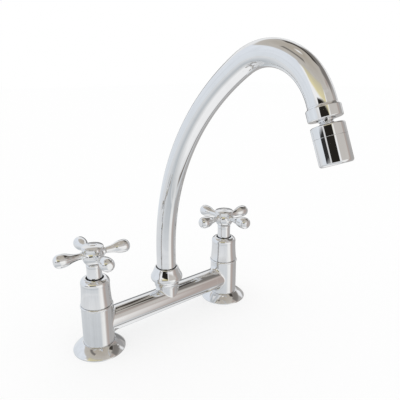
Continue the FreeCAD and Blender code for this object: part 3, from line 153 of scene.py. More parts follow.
# handle
LEFT_HANDLE_TURN = radians(-3.7)
RIGHT_HANDLE_TURN = radians(3)
SKIRT_BORE = 6.6 * MM
SKIRT_TAPER = 0.2 * MM
SKIRT_BEAD = 3.8 * MM
SKIRT_BEAD_ARC = 6 * MM
SKIRT_BEAD_DROP = 0.6 * MM
SKIRT_TOP_RADIUS = 8 * MM
SOCKET_RADIUS = 7.6 * MM
SOCKET_DEPTH = 3.5 * MM
HUB_FOOT_RADIUS = 8.6 * MM
HUB_RADIUS = 12.4 * MM
HUB_WIDE = 8.5 * MM
HUB_LOWER_ARC = 11.4 * MM
HUB_UPPER_ARC = 10.4 * MM
HUB_NECK = 10.6 * MM
HUB_NECK_RISE = 14.3 * MM
HUB_RIM = 12.3 * MM
HUB_RIM_RISE = 16.6 * MM
HUB_RIM_ARC = 2 * MM
HUB_HEIGHT = 20 * MM
HUB_CHAMFER = 0.6 * MM
HUB_EDGE = 0.3 * MM
HUB_BORE = 4.3 * MM
HUB_WEB = 11.5 * MM
SCREW_POCKET = 4.2 * MM
CAP_POCKET = 9 * MM
CAP_POCKET_DEPTH = 3.8 * MM
ARM_RISE = 11.8 * MM
ARM_REACH = 44.6 * MM
ARM_ROOT_INSET = 3.2 * MM
ARM_ROOT = 4.7 * MM
ARM_ROOT_WIDTH = 0.7 * MM
ARM_NECK = 3.6 * MM
ARM_NECK_RUN = 3.1 * MM
ARM_NECK_ARC = 2.6 * MM
ARM_FLARE_ARC = 42 * MM
ARM_FLARE_REACH = 26 * MM
ARM_FLARE_RADIUS = 5.35 * MM
ARM_BULB_ARC = 26 * MM
ARM_BULB = 7.7 * MM
ARM_BULB_INSET = 5.8 * MM
ARM_END_ARC = 6.8 * MM
ARM_END_STEP = 2.6 * MM
ARM_END_INSET = 0.9 * MM
ARM_TIP_ARC = 3.6 * MM
ARM_TIP = 2.5 * MM
ARM_EDGE = 0.5 * MM
CAP_RADIUS = 12.1 * MM
CAP_EDGE = 0.9 * MM
CAP_CHAMFER = 0.5 * MM
CAP_DRAFT = 0.3 * MM
CAP_DOME = 22 * MM
CAP_LAND = 0.5 * MM
BUTTON_SEAT = 1.2 * MM
BUTTON_EDGE = 0.2 * MM

# spout
TUBE_RADIUS = 12.2 * MM
TUBE_WALL = 1.2 * MM
RISER_TOP = 94.5 * MM
LOW_BEND = 269.3 * MM
LOW_BEND_ANGLE = radians(58.8)
TOP_BEND = 61 * MM
TOP_BEND_ANGLE = radians(99.5)
TIP_STRAIGHT = 2.45 * MM
LOW_BEND_STEPS = 110
TOP_BEND_STEPS = 90
TUBE_EDGE = 0.1 * MM
NUT_FOOT_RADIUS = 15.6 * MM
NUT_FLARE_ARC = 9 * MM
NUT_FLARE_STEP = 1.5 * MM
NUT_FLARE_DROP = 3.6 * MM
NUT_BULGE_RISE = 10 * MM
NUT_BULGE_ARC = 4.6 * MM
NUT_SHOULDER_ARC = 5.6 * MM
NUT_SHOULDER_RISE = 3.4 * MM
NUT_SHOULDER_STEP = 1 * MM
NUT_NECK_ARC = 60 * MM
NUT_TOP_RADIUS = 15 * MM
NUT_CHAMFER = 0.6 * MM
NUT_THREAD = 14.05 * MM
NUT_GLAND = 13.6 * MM
NUT_THROAT = 12.5 * MM
NUT_GLAND_FOOT = 62.5 * MM
NUT_GLAND_TOP = 69 * MM
WIPER_EDGE = 0.35 * MM

# aerator, measured along the axis of the spout's end
FERRULE_STUB = 5 * MM
FERRULE_BORE = 8 * MM
FERRULE_COLLAR = 12.9 * MM
FERRULE_COLLAR_HEIGHT = 1.6 * MM
FERRULE_COLLAR_ARC = 4 * MM
FERRULE_THREAD = 11 * MM
FERRULE_THREAD_LENGTH = 6 * MM
FERRULE_EDGE = 0.12 * MM
AERATOR_NUT_RADIUS = 14.2 * MM
AERATOR_NUT_END = 11.5 * MM
AERATOR_NUT_FLOOR = 9.8 * MM
AERATOR_NUT_HOLE = 7.9 * MM
AERATOR_NUT_CHAMFER = 0.7 * MM
AERATOR_NUT_EDGE = 0.25 * MM
STEM_TOP = 8.65 * MM
STEM_FLANGE = 10.7 * MM
STEM_RADIUS = 6.4 * MM
STEM_WAIST = 5 * MM
STEM_TAPER = 1.3 * MM
WAIST_REACH = 14.1 * MM
STEM_EDGE = 0.3 * MM
BALL_CENTRE = 21.6 * MM
BALL_RADIUS = 9 * MM
BALL_FIT = 0.25 * MM
BALL_BORE = 3.6 * MM
BALL_NECK_ANGLE = radians(34)
BALL_MOUTH_ANGLE = radians(32)
HEAD_RADIUS = 13.8 * MM
HEAD_TOP = 16.05 * MM
HEAD_TOP_ARC = 1.4 * MM
HEAD_JOINT = 25.8 * MM
HEAD_END = 48.45 * MM
HEAD_END_ARC = 2.2 * MM
HEAD_EDGE = 0.15 * MM
SLEEVE_RADIUS = 11.4 * MM
SLEEVE_END = 33 * MM
SEAT_BORE = 9.6 * MM
SHELF_BORE = 8.6 * MM
JET_BORE = 10.8 * MM
MOUTH_RADIUS = 10 * MM
SCREEN_SEAT = 37.45 * MM
PLATE_RECESS = 1.2 * MM


# ---------------------------------------------------------------------------------------------------------
# Modelling
# ---------------------------------------------------------------------------------------------------------

def arc_points(start, end, radius, side):
    """Points after start on the arc to end; it turns to the left or to the right of its way."""
    chord = end - start
    half = chord.length / 2
    rise = sqrt(max(radius * radius - half * half, 0))
    centre = (start + end) / 2 + Vector((-chord.y, chord.x)).normalized() * rise * side
    from_angle = atan2(start.y - centre.y, start.x - centre.x)
    sweep = (atan2(end.y - centre.y, end.x - centre.x) - from_angle) * side % (2 * pi)
    steps = max(ceil(sweep / ARC_STEP), ceil(sweep * radius / LONG_STEP), 2)
    angles = [from_angle + side * sweep * step / steps for step in range(1, steps)]
    return [centre + Vector((cos(a), sin(a))) * radius for a in angles] + [end]


def section_points(corners):
    """A section's points from its corners; four numbers are the end of an arc, its radius and side."""
    points = [Vector(corners[0][:2])]
    for corner in corners[1:]:
        end = Vector(corner[:2])
        points += arc_points(points[-1], end, *corner[2:]) if len(corner) == 4 else [end]
    return points


def drawn(points):
    """An edge chain through points of the XZ plane, drawn from one vertex and left in edit mode."""
    bpy.ops.object.select_all(action="DESELECT")
    bpy.ops.mesh.primitive_plane_add(size=MM, location=(points[0].x, 0, points[0].y))
    bpy.ops.object.mode_set(mode="EDIT")
    bpy.ops.mesh.merge(type="CENTER")
    for here, there in zip(points, points[1:]):
        step = there - here
        bpy.ops.mesh.extrude_vertices_move(TRANSFORM_OT_translate={"value": (step.x, 0, step.y)})
    bpy.ops.mesh.select_all(action="SELECT")


def picked(first, *others):
    """Selects these pieces alone and makes the first one active."""
    bpy.ops.object.select_all(action="DESELECT")
    for piece in (first, *others):
        piece.select_set(True)
    bpy.context.view_layer.objects.active = first


def cleaned():
    """Merges doubles, points the faces outwards and returns the object with its place in its mesh."""
    bpy.ops.mesh.select_all(action="SELECT")
    bpy.ops.mesh.remove_doubles(threshold=WELD)
    bpy.ops.mesh.normals_make_consistent(inside=False)
    bpy.ops.object.mode_set(mode="OBJECT")
    bpy.ops.object.transform_apply(location=True, rotation=True, scale=True)
    return bpy.context.object


def turned(corners, edge=EDGE, closed=True):
    """A piece turned round the Z axis from its section, with its edges broken."""
    points = section_points(corners)
    if closed:
        points.append(points[0])
    drawn(points)
    bpy.ops.mesh.spin(steps=ROUND_STEPS, angle=2 * pi, center=(0, 0, 0), axis=(0, 0, 1))
    return eased(cleaned(), edge)


def placed(piece, x=0.0, y=0.0, z=0.0, about=(0.0, 0.0, 0.0)):
    """Turns a piece by its angles about the X, Y and Z axes, moves it, and applies both."""
    picked(piece)
    piece.rotation_euler = about
    piece.location = (x, y, z)
    bpy.ops.object.transform_apply(location=True, rotation=True, scale=True)
    return piece


def copied(piece, **place):
    """A copy with its own mesh, put in its place."""
    picked(piece)
    bpy.ops.object.duplicate(linked=False)
    return placed(bpy.context.object, **place)


def joined(first, *others):
    """The first piece with the others taken into it."""
    picked(first, *others)
    bpy.ops.object.join()
    return first


def applied(piece, kind, **settings):
    """Adds a modifier with its settings and applies it."""
    picked(piece)
    modifier = piece.modifiers.new(kind.title(), kind)
    for name, value in settings.items():
        setattr(modifier, name, value)
    bpy.ops.object.modifier_apply(modifier=modifier.name)
    return piece


def eased(piece, edge):
    """Breaks the sharp edges and shades the piece smooth, with the flat faces kept flat."""
    applied(piece, "BEVEL", width=edge, segments=BEVEL_SEGMENTS,
            limit_method="ANGLE", angle_limit=BEVEL_ANGLE)
    bpy.ops.object.shade_smooth()
    return applied(piece, "WEIGHTED_NORMAL", weight=FLAT_WEIGHT, keep_sharp=False)


def dressed(piece, cad_name, body, slot="chrome"):
    """Names a finished piece, gives it its finish and puts it on its body in place of its CAD node."""
    piece.name = piece.data.name = f"{cad_name}_form"
    piece.data.materials.clear()
    piece.data.materials.append(FINISHES[slot])
    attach(piece, body)
    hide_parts(cad_name)


def fillet_rings(main, branch, radius, inside, outside):
    """Rings of a round bar along +Z that leaves a round bar along X, with a rolling-ball fillet.

    The operators give no fillet between two crossing bars, so its points are worked out. The first ring lies
    inside the main bar, and the last one at the height outside.
    """
    rings = [[] for _ in range(FILLET_STEPS + 3)]
    for step in range(ROUND_STEPS):
        around = 2 * pi * step / ROUND_STEPS
        ball = Vector(((branch + radius) * cos(around), (branch + radius) * sin(around), 0))
        ball.z = sqrt((main + radius) ** 2 - ball.y ** 2)
        on_main = Vector((ball.x, ball.y * main / (main + radius), ball.z * main / (main + radius)))
        on_branch = Vector((branch * cos(around), branch * sin(around), ball.z))
        outward = Vector((0, on_main.y, on_main.z)).normalized()
        rings[0].append(on_main - outward * inside)
        start, end = on_main - ball, on_branch - ball
        sweep = start.angle(end)
        for arc in range(FILLET_STEPS + 1):
            part = arc / FILLET_STEPS
            spoke = (start * sin((1 - part) * sweep) + end * sin(part * sweep)) / sin(sweep)
            rings[arc + 1].append(ball + spoke)
        rings[-1].append(Vector((on_branch.x, on_branch.y, outside)))
    return rings


def lofted(rings):
    """A closed skin over rings of points, capped at both ends."""
    count = len(rings[0])
    points = [tuple(point) for ring in rings for point in ring]
    faces = [tuple(reversed(range(count))), tuple(range(count * (len(rings) - 1), count * len(rings)))]
    for level in range(len(rings) - 1):
        for step in range(count):
            after = (step + 1) % count
            low, high = level * count, (level + 1) * count
            faces.append((low + step, low + after, high + after, high + step))
    mesh = bpy.data.meshes.new("skin")
    mesh.from_pydata(points, [], faces)
    piece = bpy.data.objects.new("skin", mesh)
    bpy.context.scene.collection.objects.link(piece)
    picked(piece)
    bpy.ops.object.mode_set(mode="EDIT")
    return cleaned()


# ---------------------------------------------------------------------------------------------------------
# Finishes
# ---------------------------------------------------------------------------------------------------------

SCRATCH_TURN = (0.5, 0.9, 0.3)         # angles of the hair scratches about the three axes
SCRATCH_STRETCH = (1.0, 26.0, 5.0)
SCRATCH_LEVELS = (0.56, 0.74)          # of the noise: where scratches start, and where they are whole
SCRATCH_DEPTH = -0.02                  # against the height of the waves
DROP_RADIUS = 0.26                     # of a dried drop's rim in its cell, and the rim's width
DROP_RIM = 0.07
DROP_LEVELS = (0.56, 0.66)
SMEAR_LEVELS = (0.46, 0.72)
SMEAR_SHARE = 0.6                      # of a whole drop's mark
DUST_LEVELS = (0.45, 0.75)
DUST = 0.4
MIX_MASK, MIX_LOW, MIX_HIGH = 0, 6, 7  # input sockets of a colour mix, and its output
MIX_RESULT = 2


def effect(name, numbers, outputs):
    """A shader node group with number inputs; returns it with its input and output nodes."""
    group = bpy.data.node_groups.new(name, "ShaderNodeTree")
    group.interface.new_socket(name="Place", in_out="INPUT", socket_type="NodeSocketVector")
    for label, value in numbers.items():
        socket = group.interface.new_socket(name=label, in_out="INPUT", socket_type="NodeSocketFloat")
        socket.default_value = value
    for label in outputs:
        group.interface.new_socket(name=label, in_out="OUTPUT", socket_type="NodeSocketFloat")
    return group, group.nodes.new("NodeGroupInput"), group.nodes.new("NodeGroupOutput")


def node(tree, kind, links=None, **settings):
    """A node with its settings; links are input sockets with what feeds them, or their values."""
    made = tree.nodes.new(kind)
    for name, value in settings.items():
        setattr(made, name, value)
    for socket, source in (links or {}).items():
        if isinstance(source, bpy.types.NodeSocket):
            tree.links.new(source, made.inputs[socket])
        else:
            made.inputs[socket].default_value = source
    return made


def between(tree, value, low, high, to_low=0.0, to_high=1.0):
    """Value spread from one range to another and held inside it."""
    made = node(tree, "ShaderNodeMapRange", {
        "Value": value, "From Min": low, "From Max": high, "To Min": to_low, "To Max": to_high})
    return made.outputs["Result"]


def maths(tree, operation, *values):
    """Result of one mathematical step on sockets or numbers."""
    return node(tree, "ShaderNodeMath", dict(enumerate(values)), operation=operation).outputs["Value"]


def blended(tree, mask, low, high):
    """Colour that moves from one tone to another with a mask."""
    mix = node(tree, "ShaderNodeMix", {MIX_MASK: mask, MIX_LOW: (*low, 1), MIX_HIGH: (*high, 1)},
               data_type="RGBA")
    return mix.outputs[MIX_RESULT]


def noise(tree, place, scale, detail=2.0, roughness=0.5, **more):
    """Soft noise round 0.5."""
    made = node(tree, "ShaderNodeTexNoise", {
        "Vector": place, "Scale": scale, "Detail": detail, "Roughness": roughness, **more})
    return made.outputs["Fac"]


def polish_waves():
    """Soft waves that buffing leaves under a plated surface, with hair scratches on top."""
    group, given, result = effect("Polish waves", {"Size": 60.0, "Scratches": 0.2}, ["Height", "Marks"])
    waves = noise(group, given.outputs["Place"], given.outputs["Size"], detail=2.0, roughness=0.45)
    stretched = node(group, "ShaderNodeMapping", {
        "Vector": given.outputs["Place"], "Rotation": SCRATCH_TURN, "Scale": SCRATCH_STRETCH})
    lines = noise(group, stretched.outputs["Vector"], 420.0, detail=4.0, roughness=0.7)
    marks = maths(group, "MULTIPLY", between(group, lines, *SCRATCH_LEVELS), given.outputs["Scratches"])
    group.links.new(maths(group, "MULTIPLY_ADD", marks, SCRATCH_DEPTH, waves), result.inputs["Height"])
    group.links.new(marks, result.inputs["Marks"])
    return group


def water_marks():
    """Dried drops and wiped smears, as a mask."""
    group, given, result = effect("Water marks", {"Drop size": 260.0, "Amount": 0.5}, ["Mask"])
    cells = node(group, "ShaderNodeTexVoronoi", {
        "Vector": given.outputs["Place"], "Scale": given.outputs["Drop size"], "Randomness": 1.0})
    from_rim = maths(group, "ABSOLUTE", maths(group, "SUBTRACT", cells.outputs["Distance"], DROP_RADIUS))
    wetted = noise(group, given.outputs["Place"], 70.0, detail=1.0)
    wiped = noise(group, given.outputs["Place"], 38.0, detail=5.0, roughness=0.62, Distortion=1.6)
    drops = maths(group, "MULTIPLY", between(group, from_rim, DROP_RIM, 0.0),
                  between(group, wetted, *DROP_LEVELS))
    smears = maths(group, "MULTIPLY", between(group, wiped, *SMEAR_LEVELS), SMEAR_SHARE)
    both = maths(group, "MAXIMUM", drops, smears)
    group.links.new(maths(group, "MULTIPLY", both, given.outputs["Amount"]), result.inputs["Mask"])
    return group


def moulded_grain():
    """Fine grain of moulded plastic or rubber, with a little dust in the hollows of a slow noise."""
    group, given, result = effect("Moulded grain", {"Grain": 1800.0, "Dust": 0.3}, ["Height", "Dust"])
    fine = noise(group, given.outputs["Place"], given.outputs["Grain"], detail=3.0, roughness=0.6)
    slow = noise(group, given.outputs["Place"], 120.0, detail=4.0, roughness=0.6)
    dust = maths(group, "MULTIPLY", between(group, slow, *DUST_LEVELS), given.outputs["Dust"])
    group.links.new(fine, result.inputs["Height"])
    group.links.new(dust, result.inputs["Dust"])
    return group


def turning_lines():
    """Fine rings of a lathe tool across the Z axis, for machined metal."""
    group, given, result = effect("Turning lines", {"Pitch": 5200.0}, ["Height"])
    rings = node(group, "ShaderNodeTexWave", {
        "Vector": given.outputs["Place"], "Scale": given.outputs["Pitch"], "Distortion": 2.0, "Detail": 2.0},
        wave_type="BANDS", bands_direction="Z")
    group.links.new(rings.outputs["Fac"], result.inputs["Height"])
    return group


def finish(name):
    """A plain material with its nodes, its shader and its Object coordinates."""
    material = bpy.data.materials.new(name)
    material.use_nodes = True
    tree = material.node_tree
    shader = tree.nodes["Principled BSDF"]
    place = tree.nodes.new("ShaderNodeTexCoord").outputs["Object"]
    return material, tree, shader, place


def use(tree, group, place, **numbers):
    """An effect in a material, with its own numbers; an underscore stands for a space in their names."""
    made = node(tree, "ShaderNodeGroup", node_tree=group)
    tree.links.new(place, made.inputs["Place"])
    for label, value in numbers.items():
        made.inputs[label.replace("_", " ")].default_value = value
    return made


def raised(tree, shader, height, distance):
    """Bump of the given height over the whole material."""
    bump = node(tree, "ShaderNodeBump", {"Height": height, "Distance": distance, "Strength": 1.0})
    tree.links.new(bump.outputs["Normal"], shader.inputs["Normal"])


def tinted(tree, shader, mask, clean, soiled):
    """Base colour that moves from one tone to another with a mask."""
    tree.links.new(blended(tree, mask, clean, soiled), shader.inputs["Base Color"])


def roughened(tree, shader, mask, clean, soiled, mask_top=1.0):
    """Roughness that moves from one value to another with a mask."""
    tree.links.new(between(tree, mask, 0.0, mask_top, clean, soiled), shader.inputs["Roughness"])


def chrome_plate():
    """Bright plating with its polishing waves, scratches and dried water."""
    material, tree, shader, place = finish("Polished chrome")
    shader.inputs["Metallic"].default_value = 1.0
    waves = use(tree, WAVES, place, Size=45.0, Scratches=0.25)
    marks = use(tree, MARKS, place, Drop_size=260.0, Amount=0.5)
    mask = maths(tree, "MAXIMUM", marks.outputs["Mask"], waves.outputs["Marks"])
    tinted(tree, shader, mask, clean=(0.83, 0.835, 0.845), soiled=(0.74, 0.74, 0.745))
    roughened(tree, shader, mask, clean=0.025, soiled=0.16)
    raised(tree, shader, waves.outputs["Height"], 0.02 * MM)
    return material


def machined(name, drop_size, amount, pitch, depth, colours, roughness):
    """Bare metal with its tool lines; colours and roughness are given clean and stained."""
    material, tree, shader, place = finish(name)
    shader.inputs["Metallic"].default_value = 1.0
    marks = use(tree, MARKS, place, Drop_size=drop_size, Amount=amount)
    lines = use(tree, LINES, place, Pitch=pitch)
    tinted(tree, shader, marks.outputs["Mask"], *colours)
    roughened(tree, shader, marks.outputs["Mask"], *roughness)
    raised(tree, shader, lines.outputs["Height"], depth)
    return material


def moulded(name, grain, depth, colours, roughness, gloss=0.5):
    """Plastic, rubber or ceramic with its grain; colours and roughness are given clean and dusty."""
    material, tree, shader, place = finish(name)
    shader.inputs["Specular IOR Level"].default_value = gloss
    surface = use(tree, GRAIN, place, Grain=grain, Dust=DUST)
    tinted(tree, shader, surface.outputs["Dust"], *colours)
    roughened(tree, shader, surface.outputs["Dust"], *roughness, mask_top=DUST)
    raised(tree, shader, surface.outputs["Height"], depth)
    return material


WAVES, MARKS, GRAIN, LINES = polish_waves(), water_marks(), moulded_grain(), turning_lines()
FINISHES = {
    "chrome": chrome_plate(),
    "brass": machined("Machined brass", drop_size=180.0, amount=0.7, pitch=4200.0, depth=0.01 * MM,
                      colours=((0.78, 0.60, 0.30), (0.55, 0.38, 0.17)), roughness=(0.22, 0.45)),
    "steel": machined("Stainless steel", drop_size=200.0, amount=0.5, pitch=6000.0, depth=0.008 * MM,
                      colours=((0.62, 0.63, 0.64), (0.45, 0.45, 0.45)), roughness=(0.24, 0.42)),
    "rubber": moulded("Black rubber", grain=1500.0, depth=0.02 * MM, gloss=0.25,
                      colours=((0.022, 0.022, 0.023), (0.07, 0.068, 0.065)), roughness=(0.55, 0.8)),
    # near-black nylon: the guide ring's own colour, and also painted shade that makes the gap in the bonnet's hole
    # read deep and dark
    "nylon": moulded("Black nylon and painted gap shade", grain=2400.0, depth=0.012 * MM, gloss=0.2,
                     colours=((0.012, 0.012, 0.013), (0.05, 0.05, 0.05)), roughness=(0.35, 0.55)),
    "ceramic": moulded("White ceramic", grain=900.0, depth=0.004 * MM,
                       colours=((0.84, 0.83, 0.79), (0.72, 0.70, 0.66)), roughness=(0.12, 0.28)),
}

# every CAD node gets its finish, because the hidden ones stay in the scene
for part in frame["record"]["subparts"]:
    cad_node = frame["nodes"][part["node"]]
    cad_node.data.materials.clear()
    cad_node.data.materials.append(FINISHES[part["material_slot"]])


# ---------------------------------------------------------------------------------------------------------
# Base, pillars and bridge
# ---------------------------------------------------------------------------------------------------------

def make_flange():
    """Thin domed plate with a sleeve round the pillar."""
    outer, height, gasket = reach("left_flange"), top("left_flange"), top("left_base_gasket")
    inner = PILLAR_RADIUS + RUN_FIT
    land = inner + FLANGE_LAND
    sleeve = land + FLANGE_WALL / 2
    return turned([
        (inner, gasket), (sleeve, gasket), (sleeve, height - FLANGE_CROWN),
        (outer - FLANGE_WALL, gasket + FLANGE_RIM, FLANGE_DOME, RIGHT_TURN), (outer - FLANGE_WALL, 0),
        (outer, 0), (outer, FLANGE_RIM), (land, height, FLANGE_DOME, LEFT_TURN), (inner, height)],
        FLANGE_EDGE)


def along_bridge(piece):
    """Lays a piece that was made upright along +X at the bridge's height."""
    return placed(piece, about=(0, QUARTER_TURN, 0), z=BRIDGE_HEIGHT)


def make_pillar():
    """Casting with its bead, groove and spigot, its waterway, and the stub on its +X side."""
    gasket, shoulder, rim = top("left_base_gasket"), foot("left_bonnet_cover"), top("left_pillar")
    groove = PILLAR_RADIUS - GROOVE_DEPTH
    bead_arc = ((BEAD_HEIGHT / 2) ** 2 + BEAD_STEP ** 2) / (2 * BEAD_STEP)
    casting = turned([
        (INLET_RADIUS, gasket), (PILLAR_RADIUS, gasket), (PILLAR_RADIUS, BEAD_TOP - BEAD_HEIGHT),
        (PILLAR_RADIUS, BEAD_TOP, bead_arc, LEFT_TURN), (groove, BEAD_TOP), (groove, shoulder),
        (COVER_SPIGOT, shoulder), (COVER_SPIGOT, rim), (VALVE_THREAD, rim), (VALVE_THREAD, CHAMBER_TOP),
        (CHAMBER_RADIUS, CHAMBER_TOP), (CHAMBER_RADIUS, SEAT_HEIGHT), (WATERWAY, SEAT_HEIGHT),
        (WATERWAY, gasket + INLET_DEPTH), (INLET_RADIUS, gasket + INLET_DEPTH)], PILLAR_EDGE)
    stub = lofted(fillet_rings(PILLAR_RADIUS, PIPE_RADIUS, STUB_FILLET, STUB_SINK, STUB_REACH))
    root, end, radius = STUB_REACH - SPIGOT_SINK, STUB_REACH + SPIGOT_REACH, PIPE_RADIUS - PIPE_WALL - RUN_FIT
    spigot = turned([(PORT_RADIUS, root), (radius, root), (radius, end), (PORT_RADIUS, end)])
    return joined(casting, along_bridge(eased(stub, STUB_EDGE)), along_bridge(spigot))


def make_bridge_pipe():
    """Plain tube from the tee to the right pillar."""
    low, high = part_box("right_bridge_pipe")
    bore = PIPE_RADIUS - PIPE_WALL
    return along_bridge(turned([
        (bore, low.x), (PIPE_RADIUS, low.x), (PIPE_RADIUS, high.x), (bore, high.x)], BRIDGE_EDGE))


def make_tee():
    """Barrel along the bridge, and the boss that leaves it with a fillet."""
    spigot = PIPE_RADIUS - PIPE_WALL - RUN_FIT
    end = TEE_REACH + SPIGOT_REACH
    barrel = turned([
        (PORT_RADIUS, -end), (spigot, -end), (spigot, -TEE_REACH), (PIPE_RADIUS, -TEE_REACH),
        (PIPE_RADIUS, TEE_REACH), (spigot, TEE_REACH), (spigot, end), (PORT_RADIUS, end)], BRIDGE_EDGE)
    nut_seat, rim, root = foot("spout_nut"), top("spout_tee"), BRIDGE_HEIGHT + PIPE_RADIUS / 2
    collar = nut_seat - COLLAR_HEIGHT
    neck = lofted(fillet_rings(PIPE_RADIUS, BOSS_RADIUS, BOSS_FILLET, BOSS_SINK,
                               nut_seat - COLLAR_HEIGHT / 2 - BRIDGE_HEIGHT))
    boss = turned([
        (BOSS_BORE, root), (BOSS_CORE, root), (BOSS_CORE, collar), (COLLAR_RADIUS - COLLAR_CHAMFER, collar),
        (COLLAR_RADIUS, collar + COLLAR_CHAMFER), (COLLAR_RADIUS, nut_seat), (BOSS_RADIUS, nut_seat),
        (BOSS_RADIUS, rim), (BOSS_BORE, rim)])
    return joined(along_bridge(barrel), placed(eased(neck, BRIDGE_EDGE), z=BRIDGE_HEIGHT), boss)


# ---------------------------------------------------------------------------------------------------------
# Bonnets and handles
# ---------------------------------------------------------------------------------------------------------

def make_bonnet():
    """Bell over the valve, with its hollow flank and rounded shoulder."""
    low, high = foot("left_bonnet_cover"), top("left_bonnet_cover")
    bore = COVER_SPIGOT + RUN_FIT
    shoulder = high - COVER_SHOULDER
    return turned([
        (bore, low), (reach("left_bonnet_cover"), low), (COVER_WAIST, shoulder, COVER_FLANK, RIGHT_TURN),
        (COVER_LIP, high, COVER_SHOULDER_ARC, LEFT_TURN), (COVER_HOLE, high),
        (COVER_HOLE, high - COVER_CEILING), (COVER_LIP, high - COVER_CEILING),
        (COVER_WAIST - COVER_WALL, shoulder, COVER_SHOULDER_ARC, RIGHT_TURN), (bore, COVER_BORE_TOP)])


def make_guide_ring():
    """Black ring in the bonnet's hole, with its hidden flange; partly a real ring, and partly painted shade of the
    deep gap round the skirt.
    """
    low, high = foot("left_guide_ring"), top("left_guide_ring")
    bore, flange = reach("left_handle_skirt") + SLIDE_FIT, reach("left_guide_ring")
    ceiling, outer = top("left_bonnet_cover") - COVER_CEILING, COVER_HOLE - RUN_FIT
    return turned([
        (bore, low), (flange, low), (flange, ceiling), (outer, ceiling), (outer, high), (bore, high)],
        GUIDE_EDGE)


def make_skirt():
    """Sleeve that goes down into the bonnet, with the bead under the hub."""
    low, spigot_top, hub = foot("left_handle_skirt"), top("left_handle_skirt"), foot("left_cross_handle")
    radius, spigot, shoulder = reach("left_handle_skirt"), SOCKET_RADIUS - RUN_FIT, hub - RUN_FIT
    neck, bead_top = radius - SKIRT_TAPER, shoulder - SKIRT_BEAD_DROP
    return turned([
        (SKIRT_BORE, low), (radius, low), (neck, bead_top - SKIRT_BEAD),
        (neck, bead_top, SKIRT_BEAD_ARC, LEFT_TURN), (SKIRT_TOP_RADIUS, shoulder),
        (spigot, shoulder), (spigot, spigot_top), (SKIRT_BORE, spigot_top)])


def make_handle():
    """Hub with its pockets, and four flared arms."""
    low = foot("left_cross_handle")
    high = low + HUB_HEIGHT
    web, cap_seat, socket = low + HUB_WEB, high - CAP_POCKET_DEPTH, low + SOCKET_DEPTH
    hub = turned([
        (SOCKET_RADIUS, low), (HUB_FOOT_RADIUS, low),
        (HUB_RADIUS, low + HUB_WIDE, HUB_LOWER_ARC, LEFT_TURN),
        (HUB_NECK, low + HUB_NECK_RISE, HUB_UPPER_ARC, LEFT_TURN),
        (HUB_RIM, low + HUB_RIM_RISE, HUB_RIM_ARC, RIGHT_TURN), (HUB_RIM, high - HUB_CHAMFER),
        (HUB_RIM - HUB_CHAMFER, high), (CAP_POCKET, high), (CAP_POCKET, cap_seat), (SCREW_POCKET, cap_seat),
        (SCREW_POCKET, web), (HUB_BORE, web), (HUB_BORE, socket), (SOCKET_RADIUS, socket)], HUB_EDGE)
    root, neck, bulb = HUB_RADIUS - ARM_ROOT_INSET, HUB_RADIUS + ARM_NECK_RUN, ARM_REACH - ARM_BULB_INSET
    arm = turned([
        (0, root), (ARM_ROOT, root), (ARM_ROOT, HUB_RADIUS + ARM_ROOT_WIDTH),
        (ARM_NECK, neck, ARM_NECK_ARC, RIGHT_TURN),
        (ARM_FLARE_RADIUS, ARM_FLARE_REACH, ARM_FLARE_ARC, RIGHT_TURN),
        (ARM_BULB, bulb, ARM_BULB_ARC, LEFT_TURN),
        (ARM_BULB - ARM_END_STEP, ARM_REACH - ARM_END_INSET, ARM_END_ARC, LEFT_TURN),
        (ARM_TIP, ARM_REACH, ARM_TIP_ARC, LEFT_TURN), (0, ARM_REACH)], ARM_EDGE, closed=False)
    placed(arm, about=(0, QUARTER_TURN, 0), z=low + ARM_RISE)
    others = [copied(arm, about=(0, 0, QUARTER_TURN * quarter)) for quarter in (1, 2, 3)]
    return joined(hub, arm, *others)


def make_index_cap():
    """Low dome over the hub, with its plug and the seat of the button."""
    low, high, hub = foot("left_index_cap"), top("left_index_cap"), foot("left_cross_handle") + HUB_HEIGHT
    plug, seat = CAP_POCKET - RUN_FIT, reach("left_index_button") + RUN_FIT
    return turned([
        (0, low), (plug, low), (plug, hub), (CAP_RADIUS - CAP_CHAMFER, hub), (CAP_RADIUS, hub + CAP_CHAMFER),
        (CAP_RADIUS - CAP_DRAFT, hub + CAP_EDGE), (seat + CAP_LAND, high, CAP_DOME, LEFT_TURN), (seat, high),
        (seat, high - BUTTON_SEAT), (0, high - BUTTON_SEAT)], closed=False)


def make_button():
    """Plain button, domed from its edge just under the cap's land."""
    radius, low, high = reach("left_index_button"), foot("left_index_button"), top("left_index_button")
    edge = top("left_index_cap") - BUTTON_EDGE
    rise = high - edge
    dome = (radius * radius + rise * rise) / (2 * rise)
    return turned([(0, low), (radius, low), (radius, edge), (0, high, dome, LEFT_TURN)], closed=False)


# ---------------------------------------------------------------------------------------------------------
# Spout
# ---------------------------------------------------------------------------------------------------------

def make_spout_nut():
    """Bell nut with its hollow foot, wide belly, and long hollow neck."""
    low, high = foot("spout_nut"), top("spout_nut")
    belly, bulge = reach("spout_nut"), low + NUT_BULGE_RISE
    mouth, wiper = reach("spout_wiper") + RUN_FIT, foot("spout_wiper")
    return turned([
        (NUT_THREAD, low), (NUT_FOOT_RADIUS, low),
        (belly - NUT_FLARE_STEP, bulge - NUT_FLARE_DROP, NUT_FLARE_ARC, RIGHT_TURN),
        (belly, bulge, NUT_BULGE_ARC, LEFT_TURN),
        (belly - NUT_SHOULDER_STEP, bulge + NUT_SHOULDER_RISE, NUT_SHOULDER_ARC, LEFT_TURN),
        (NUT_TOP_RADIUS, high - NUT_CHAMFER, NUT_NECK_ARC, RIGHT_TURN), (NUT_TOP_RADIUS - NUT_CHAMFER, high),
        (mouth, high), (mouth, wiper), (NUT_THROAT, wiper), (NUT_THROAT, NUT_GLAND_TOP),
        (NUT_GLAND, NUT_GLAND_TOP), (NUT_GLAND, NUT_GLAND_FOOT), (NUT_THREAD, NUT_GLAND_FOOT)])


